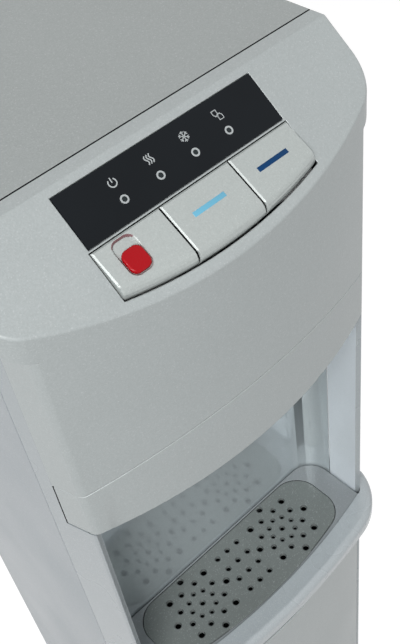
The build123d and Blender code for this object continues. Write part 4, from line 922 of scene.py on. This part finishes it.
def heat_mark():
    """Strokes of the heating mark: three rising waves."""
    steps = 18
    marks = []
    for shift in (-1.85, 0.0, 1.85):
        spots = (6.2 * (step / steps - 0.5) for step in range(steps + 1))
        wave = [Vector((shift - 0.8 * sin(spot * pi / 2.9), spot)) * MM for spot in spots]
        marks.append((wave, False, 0.95))
    return marks


def frost_mark():
    """Strokes of the cooling mark: six arms with a pair of twigs each."""
    marks = []
    for arm in range(6):
        turn = Matrix.Rotation(radians(60 * arm), 2)
        marks.append(([turn @ Vector((0, 0)), turn @ Vector((0, 3.7 * MM))], False, 0.8))
        for side in (-1, 1):
            twig = [Vector((0, 2.0 * MM)), Vector((side * 1.15 * MM, 3.2 * MM))]
            marks.append(([turn @ spot for spot in twig], False, 0.7))
    return marks


def bottle_mark():
    """Strokes of the bottle mark: one bottle turned over and one standing."""
    half = [(1.7, -1.9), (1.7, 0.85), (0.75, 1.6), (0.75, 2.05)]
    outline = [Vector(spot) for spot in half] + [Vector((-x, y)) for x, y in reversed(half)]
    upright = [(spot + Vector((1.15, -1.6))) * MM for spot in outline]
    turned = [(Vector((-1.15, 1.6)) - spot) * MM for spot in outline]
    return [(upright, True, 0.65), (turned, True, 0.65)]


class PrintMarks(bpy.types.Operator):
    """Print the four generic marks on the display window"""

    bl_idname = "water_cooler.print_marks"
    bl_label = "Print marks"

    def execute(self, context):
        sizes = context.scene.cooler_details
        shape = bmesh.new()
        makers = (power_mark, heat_mark, frost_mark, bottle_mark)
        for index, maker in enumerate(makers):
            middle = (index - (len(makers) - 1) / 2) * sizes.lamp_pitch

            def place(x, down, out, middle=middle):
                return on_slope(x + middle, down + sizes.mark_down, out)

            for points, closed, share in maker():
                stroke(shape, place, points, sizes.mark_stroke * share, sizes.print_build, closed)
        bmesh.ops.recalc_face_normals(shape, faces=shape.faces)
        mesh = mesh_of(shape, "panel_marks")
        new_piece("panel_marks", mesh, "cabinet", "display_black", "print_white")
        return {"FINISHED"}


def lathe(profile, steps):
    """A closed bmesh turned round Z from (radius, height) pairs that run up the outside."""
    shape = bmesh.new()
    rings = []
    for radius, height in profile:
        if radius:
            turns = (2 * pi * step / steps for step in range(steps))
            rings.append([shape.verts.new((radius * cos(t), radius * sin(t), height)) for t in turns])
        else:
            rings.append([shape.verts.new((0, 0, height))] * steps)
    for low, high in zip(rings, rings[1:]):
        for step in range(steps):
            turn = (step + 1) % steps
            corners = (low[step], low[turn], high[turn], high[step])
            shape.faces.new(list(dict.fromkeys(corners)))
    if profile[0][0]:
        shape.faces.new(rings[0][::-1])
    return shape


def repeat_tree():
    """Geometry nodes that set one shape on every point, turned, spun by a seeded amount and realised."""
    tree = bpy.data.node_groups.new("repeat_on_points", "GeometryNodeTree")
    for label, kind in (
        ("Points", "Geometry"),
        ("Shape", "Object"),
        ("Turn", "Rotation"),
        ("Spin", "Float"),
        ("Seed", "Int"),
        ("Finish", "Material"),
    ):
        tree.interface.new_socket(label, in_out="INPUT", socket_type=f"NodeSocket{kind}")
    tree.interface.new_socket("Row", in_out="OUTPUT", socket_type="NodeSocketGeometry")
    given = tree.nodes.new("NodeGroupInput").outputs
    shape = put(tree, "GeometryNodeObjectInfo", {"Object": given["Shape"]})
    inputs = {"Points": given["Points"], "Instance": shape.outputs["Geometry"], "Rotation": given["Turn"]}
    row = put(tree, "GeometryNodeInstanceOnPoints", inputs)
    chance = put(tree, "FunctionNodeRandomValue", {"Seed": given["Seed"]}, data_type="FLOAT")
    turn = put(tree, "ShaderNodeMath", {0: chance.outputs[1], 1: given["Spin"]}, operation="MULTIPLY")
    axes = put(tree, "ShaderNodeCombineXYZ", {"Z": turn.outputs[0]})
    inputs = {"Instances": row.outputs[0], "Rotation": axes.outputs[0]}
    spun = put(tree, "GeometryNodeRotateInstances", inputs)
    whole = put(tree, "GeometryNodeRealizeInstances", {"Geometry": spun.outputs[0]})
    inputs = {"Geometry": whole.outputs[0], "Material": given["Finish"]}
    coated = put(tree, "GeometryNodeSetMaterial", inputs)
    put(tree, "NodeGroupOutput", {"Row": coated.outputs[0]})
    return tree


def repeated(name, points, shape, turn, material, spin=0.0, seed=0):
    """The plain mesh of a shape repeated on points by geometry nodes."""
    tree = bpy.data.node_groups.get("repeat_on_points") or repeat_tree()
    pattern = placed(f"{name}_shape", mesh_of(shape, f"{name}_shape"))
    cloud = bpy.data.meshes.new(f"{name}_points")
    cloud.from_pydata(points, [], [])
    carrier = placed(f"{name}_carrier", cloud)
    modifier = carrier.modifiers.new("Repeat", "NODES")
    modifier.node_group = tree
    socket = {item.name: item.identifier for item in tree.interface.items_tree}
    values = {"Shape": pattern, "Turn": turn, "Spin": spin, "Seed": seed, "Finish": finish(material)}
    for label, value in values.items():
        modifier[socket[label]] = value
    mesh = evaluated(carrier, name)
    carrier.modifiers.remove(modifier)
    for helper in (carrier, pattern):
        bpy.data.objects.remove(helper)
    if not mesh.polygons:
        raise RuntimeError(f"{name} came out empty")
    mesh.shade_smooth()
    mesh.set_sharp_from_angle(angle=SMOOTH_ANGLE)
    return mesh


RING_SIDES = 40
LENS_SIDES = 32
RING_HOLE = 0.6
DOME_SHARES = (1.0, 0.8, 0.55, 0.3, 0.0)


class SetLamps(bpy.types.Operator):
    """Set the lamp rings and their lenses in the display window"""

    bl_idname = "water_cooler.set_lamps"
    bl_label = "Set lamps"

    def execute(self, context):
        sizes = context.scene.cooler_details
        radius, build = sizes.lamp_radius, sizes.print_build
        middle = (sizes.lamp_count - 1) / 2
        spots = [
            on_slope((lamp - middle) * sizes.lamp_pitch, sizes.lamp_down, 0)
            for lamp in range(sizes.lamp_count)
        ]
        inner = radius * RING_HOLE
        rim = [
            (inner, -build),
            (radius, -build),
            (radius, build * 1.5),
            (radius - build, build * 2.5),
            (inner + build, build * 2.5),
            (inner, build * 1.5),
            (inner, -build),
        ]
        ring = lathe(rim, RING_SIDES)
        bmesh.ops.remove_doubles(ring, verts=ring.verts, dist=1e-7)
        inside = [face for face in ring.faces if len(face.verts) == RING_SIDES]
        bmesh.ops.delete(ring, geom=inside, context="FACES_ONLY")
        dome = [(inner * share, build * 3.5 * (1 - share**2) - build / 2) for share in DOME_SHARES]
        lens = lathe([(inner, -build)] + dome, LENS_SIDES)
        turn = (SLOPE_TILT, 0, 0)
        for name, shape, material in (
            ("lamp_rings", ring, "print_white"),
            ("lamp_lenses", lens, "lens_grey"),
        ):
            mesh = repeated(name, spots, shape, turn, material)
            new_piece(name, mesh, "cabinet", "display_black", material)
        return {"FINISHED"}


class InlayBars(bpy.types.Operator):
    """Inlay the colour bars in the room and cold buttons"""

    bl_idname = "water_cooler.inlay_bars"
    bl_label = "Inlay colour bars"

    def execute(self, context):
        sizes = context.scene.cooler_details
        proud, sunk, edge = 0.15 * MM, 0.3 * MM, 0.12 * MM
        for button, material in (("button_room", "bar_light"), ("button_cold", "bar_dark")):
            low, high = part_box(button)
            middle = (low.x + high.x) / 2 - sizes.bar_shift
            shape = bmesh.new()
            corners = bmesh.ops.create_cube(shape, size=1.0)["verts"]
            for corner in corners:
                x, y, z = corner.co
                out = proud if z > 0 else -sunk
                corner.co = on_ramp(middle + x * sizes.bar_length, sizes.bar_down - y * sizes.bar_width, out)
            edges = list(shape.edges)
            bmesh.ops.bevel(shape, geom=edges, offset=edge, segments=2, profile=0.5, affect="EDGES")
            bmesh.ops.recalc_face_normals(shape, faces=shape.faces)
            mesh = mesh_of(shape, f"{button}_bar")
            mesh.shade_smooth()
            mesh.set_sharp_from_angle(angle=radians(50))
            new_piece(f"{button}_bar", mesh, BODY_OF[button], "silver_button", material)
        return {"FINISHED"}


SCREW_SIDES = 24
SCREW_ROWS = 7
SCREW_INSET = 6 * MM
SCREW_FIRST = 30 * MM
SCREW_LAST = 22 * MM
SCREW_FOOT = 10 * MM


def screw_head(radius, height):
    """A pan-head screw with a cross recess, as a bmesh that stands on Z = 0."""
    profile = [
        (radius, -0.3 * height),
        (radius, 0.35 * height),
        (0.93 * radius, 0.62 * height),
        (0.75 * radius, 0.86 * height),
        (0.45 * radius, height),
        (0.0, height),
    ]
    cutter = bmesh.new()
    for turn in (0, pi / 2):
        place = Matrix.Translation((0, 0, height)) @ Matrix.Rotation(turn, 4, "Z")
        size = Matrix.Diagonal((1.1 * radius, 0.26 * radius, 1.1 * height, 1.0))
        bmesh.ops.create_cube(cutter, size=1.0, matrix=place @ size)
    return cut_out("screw", lathe(profile, SCREW_SIDES), cutter, crossing=True)


class DriveScrews(bpy.types.Operator):
    """Drive the rear panel's screws along its two sides and its foot"""

    bl_idname = "water_cooler.drive_screws"
    bl_label = "Drive rear screws"

    def execute(self, context):
        sizes = context.scene.cooler_details
        low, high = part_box("back_panel")
        lid_low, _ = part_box("top_lid")
        first = low.z + SCREW_FIRST
        last = lid_low.z - SCREW_LAST
        spots = []
        for row in range(SCREW_ROWS):
            level = first + (last - first) * row / (SCREW_ROWS - 1)
            spots += [(low.x + SCREW_INSET, high.y, level), (high.x - SCREW_INSET, high.y, level)]
        spots += [(share * high.x, high.y, low.z + SCREW_FOOT) for share in (-0.5, 0.0, 0.5)]
        head = screw_head(sizes.screw_radius, sizes.screw_height)
        mesh = repeated("rear_screws", spots, head, (-pi / 2, 0, 0), "steel", spin=2 * pi, seed=7)
        new_piece("rear_screws", mesh, "cabinet", "steel", "steel")
        return {"FINISHED"}


# The photograph's camera: its place and its three axes, in metres
CAMERA_PLACE = Vector((-0.27927, -0.46281, 1.38152))
CAMERA_RIGHT = Vector((0.722377, -0.681786, -0.115497))
CAMERA_UP = Vector((0.553292, 0.469694, 0.687936))
CAMERA_BACK = Vector((-0.414776, -0.560853, 0.716523))


def softbox(name, place, target, size, watts):
    """A rectangular soft white light that faces a target."""
    data = bpy.data.lights.new(name, "AREA")
    data.shape = "RECTANGLE"
    data.size, data.size_y = size
    data.energy = watts
    lamp = placed(name, data)
    lamp.location = place
    lamp.rotation_euler = (Vector(target) - Vector(place)).to_track_quat("-Z", "Y").to_euler()
    return lamp


def seen_directly(tree):
    """1 for rays from the camera, off a gloss or let through, and 0 for the rest."""
    path = tree.nodes.new("ShaderNodeLightPath").outputs
    shown = maths(tree, "MAXIMUM", path["Is Camera Ray"], path["Is Glossy Ray"])
    return maths(tree, "MAXIMUM", shown, path["Is Transmission Ray"])


WHITE = (1.0, 1.0, 1.0, 1.0)
ROOM_TINT = (0.96, 0.98, 1.0, 1.0)
FLOOR_HALF = 8.0
FLOOR_GLOW = 0.9


def pale_room(level):
    """A world that lights evenly at a level and is white where it is seen."""
    world = bpy.data.worlds.new("pale_room")
    world.use_nodes = True
    tree = world.node_tree
    tree.nodes.clear()
    lit = put(tree, "ShaderNodeBackground", {"Color": ROOM_TINT, "Strength": level})
    shown = put(tree, "ShaderNodeBackground", {"Color": WHITE, "Strength": 1.0})
    parts = {0: seen_directly(tree), 1: lit.outputs[0], 2: shown.outputs[0]}
    mixed = put(tree, "ShaderNodeMixShader", parts)
    put(tree, "ShaderNodeOutputWorld", {"Surface": mixed.outputs[0]})
    return world


def pale_floor(shade):
    """A floor that looks nearly white and keeps the shadow."""
    shape = bmesh.new()
    bmesh.ops.create_grid(shape, x_segments=1, y_segments=1, size=FLOOR_HALF)
    floor = placed("studio_floor", mesh_of(shape, "studio_floor"))
    cover = bpy.data.materials.new("studio_floor")
    cover.use_nodes = True
    tree = cover.node_tree
    tree.nodes.clear()
    matt = put(tree, "ShaderNodeBsdfDiffuse", {"Color": (*shade, 1.0)})
    glow = put(tree, "ShaderNodeEmission", {"Color": WHITE, "Strength": FLOOR_GLOW})
    both = put(tree, "ShaderNodeAddShader", {0: matt.outputs[0], 1: glow.outputs[0]})
    parts = {0: seen_directly(tree), 1: matt.outputs[0], 2: both.outputs[0]}
    mixed = put(tree, "ShaderNodeMixShader", parts)
    put(tree, "ShaderNodeOutputMaterial", {"Surface": mixed.outputs[0]})
    floor.data.materials.append(cover)
    return floor


def photo_camera(lens):
    """The camera at the photograph's place and angle."""
    data = bpy.data.cameras.new("photo_camera")
    data.lens = lens
    data.sensor_width = 36.0
    data.clip_start = 0.01
    camera = placed("photo_camera", data)
    axes = Matrix((CAMERA_RIGHT, CAMERA_UP, CAMERA_BACK)).transposed()
    camera.matrix_world = Matrix.Translation(CAMERA_PLACE) @ axes.to_4x4()
    return camera


class BuildStudio(bpy.types.Operator):
    """Build the pale studio: floor, room light, softboxes and camera"""

    bl_idname = "water_cooler.build_studio"
    bl_label = "Build studio"

    def execute(self, context):
        scene = context.scene
        studio = scene.cooler_studio
        scene.view_settings.view_transform = "Standard"
        scene.world = pale_room(studio.room_level)
        pale_floor(studio.floor_shade)
        softbox("key_light", (-1.8, -1.66, 2.78), (0, -0.1, 0.95), (1.4, 1.4), studio.key_power)
        strip = softbox("edge_light", (-1.9, -0.3, 1.9), (0, -0.1, 1.0), (0.5, 0.5), studio.edge_power)
        strip.visible_diffuse = False
        middle = (0, 0, 0.8)
        fill = softbox("fill_light", (2.4, -0.6, 1.5), middle, (1.6, 1.6), studio.fill_power)
        back = softbox("back_light", (-1.0, 2.2, 1.2), middle, (1.2, 1.6), studio.back_power)
        fill.visible_glossy = False
        back.visible_glossy = False
        scene.camera = photo_camera(studio.lens)
        return {"FINISHED"}


class CoolerPanel(bpy.types.Panel):
    """Lists the cooler's colours, sizes and steps in the sidebar."""

    bl_idname = "VIEW3D_PT_water_cooler"
    bl_label = "Water cooler"
    bl_space_type = "VIEW_3D"
    bl_region_type = "UI"
    bl_category = "Water cooler"

    def draw(self, context):
        for name in ("cooler_finishes", "cooler_details", "cooler_studio"):
            group = getattr(context.scene, name)
            box = self.layout.box()
            for prop in group.__annotations__:
                box.prop(group, prop)
        for step in STEPS:
            self.layout.operator(step.bl_idname)


STEPS = (MixFinishes, RoundMouldings, FillSeams, PrintMarks, SetLamps, InlayBars, DriveScrews, BuildStudio)
GROUPS = {
    "cooler_finishes": CoolerFinishes,
    "cooler_details": CoolerDetails,
    "cooler_studio": CoolerStudio,
}


def register():
    """Register the add-on's classes and its groups of properties."""
    for item in (*GROUPS.values(), *STEPS, CoolerPanel):
        bpy.utils.register_class(item)
    for name, group in GROUPS.items():
        setattr(bpy.types.Scene, name, PointerProperty(type=group))


def unregister():
    """Take out all that register() put in."""
    for name in GROUPS:
        delattr(bpy.types.Scene, name)
    for item in (CoolerPanel, *reversed(STEPS), *GROUPS.values()):
        bpy.utils.unregister_class(item)


def main():
    """Dress the cooler step by step."""
    register()
    for step in STEPS:
        family, action = step.bl_idname.split(".")
        getattr(getattr(bpy.ops, family), action)()


if __name__ == "__main__":
    main()
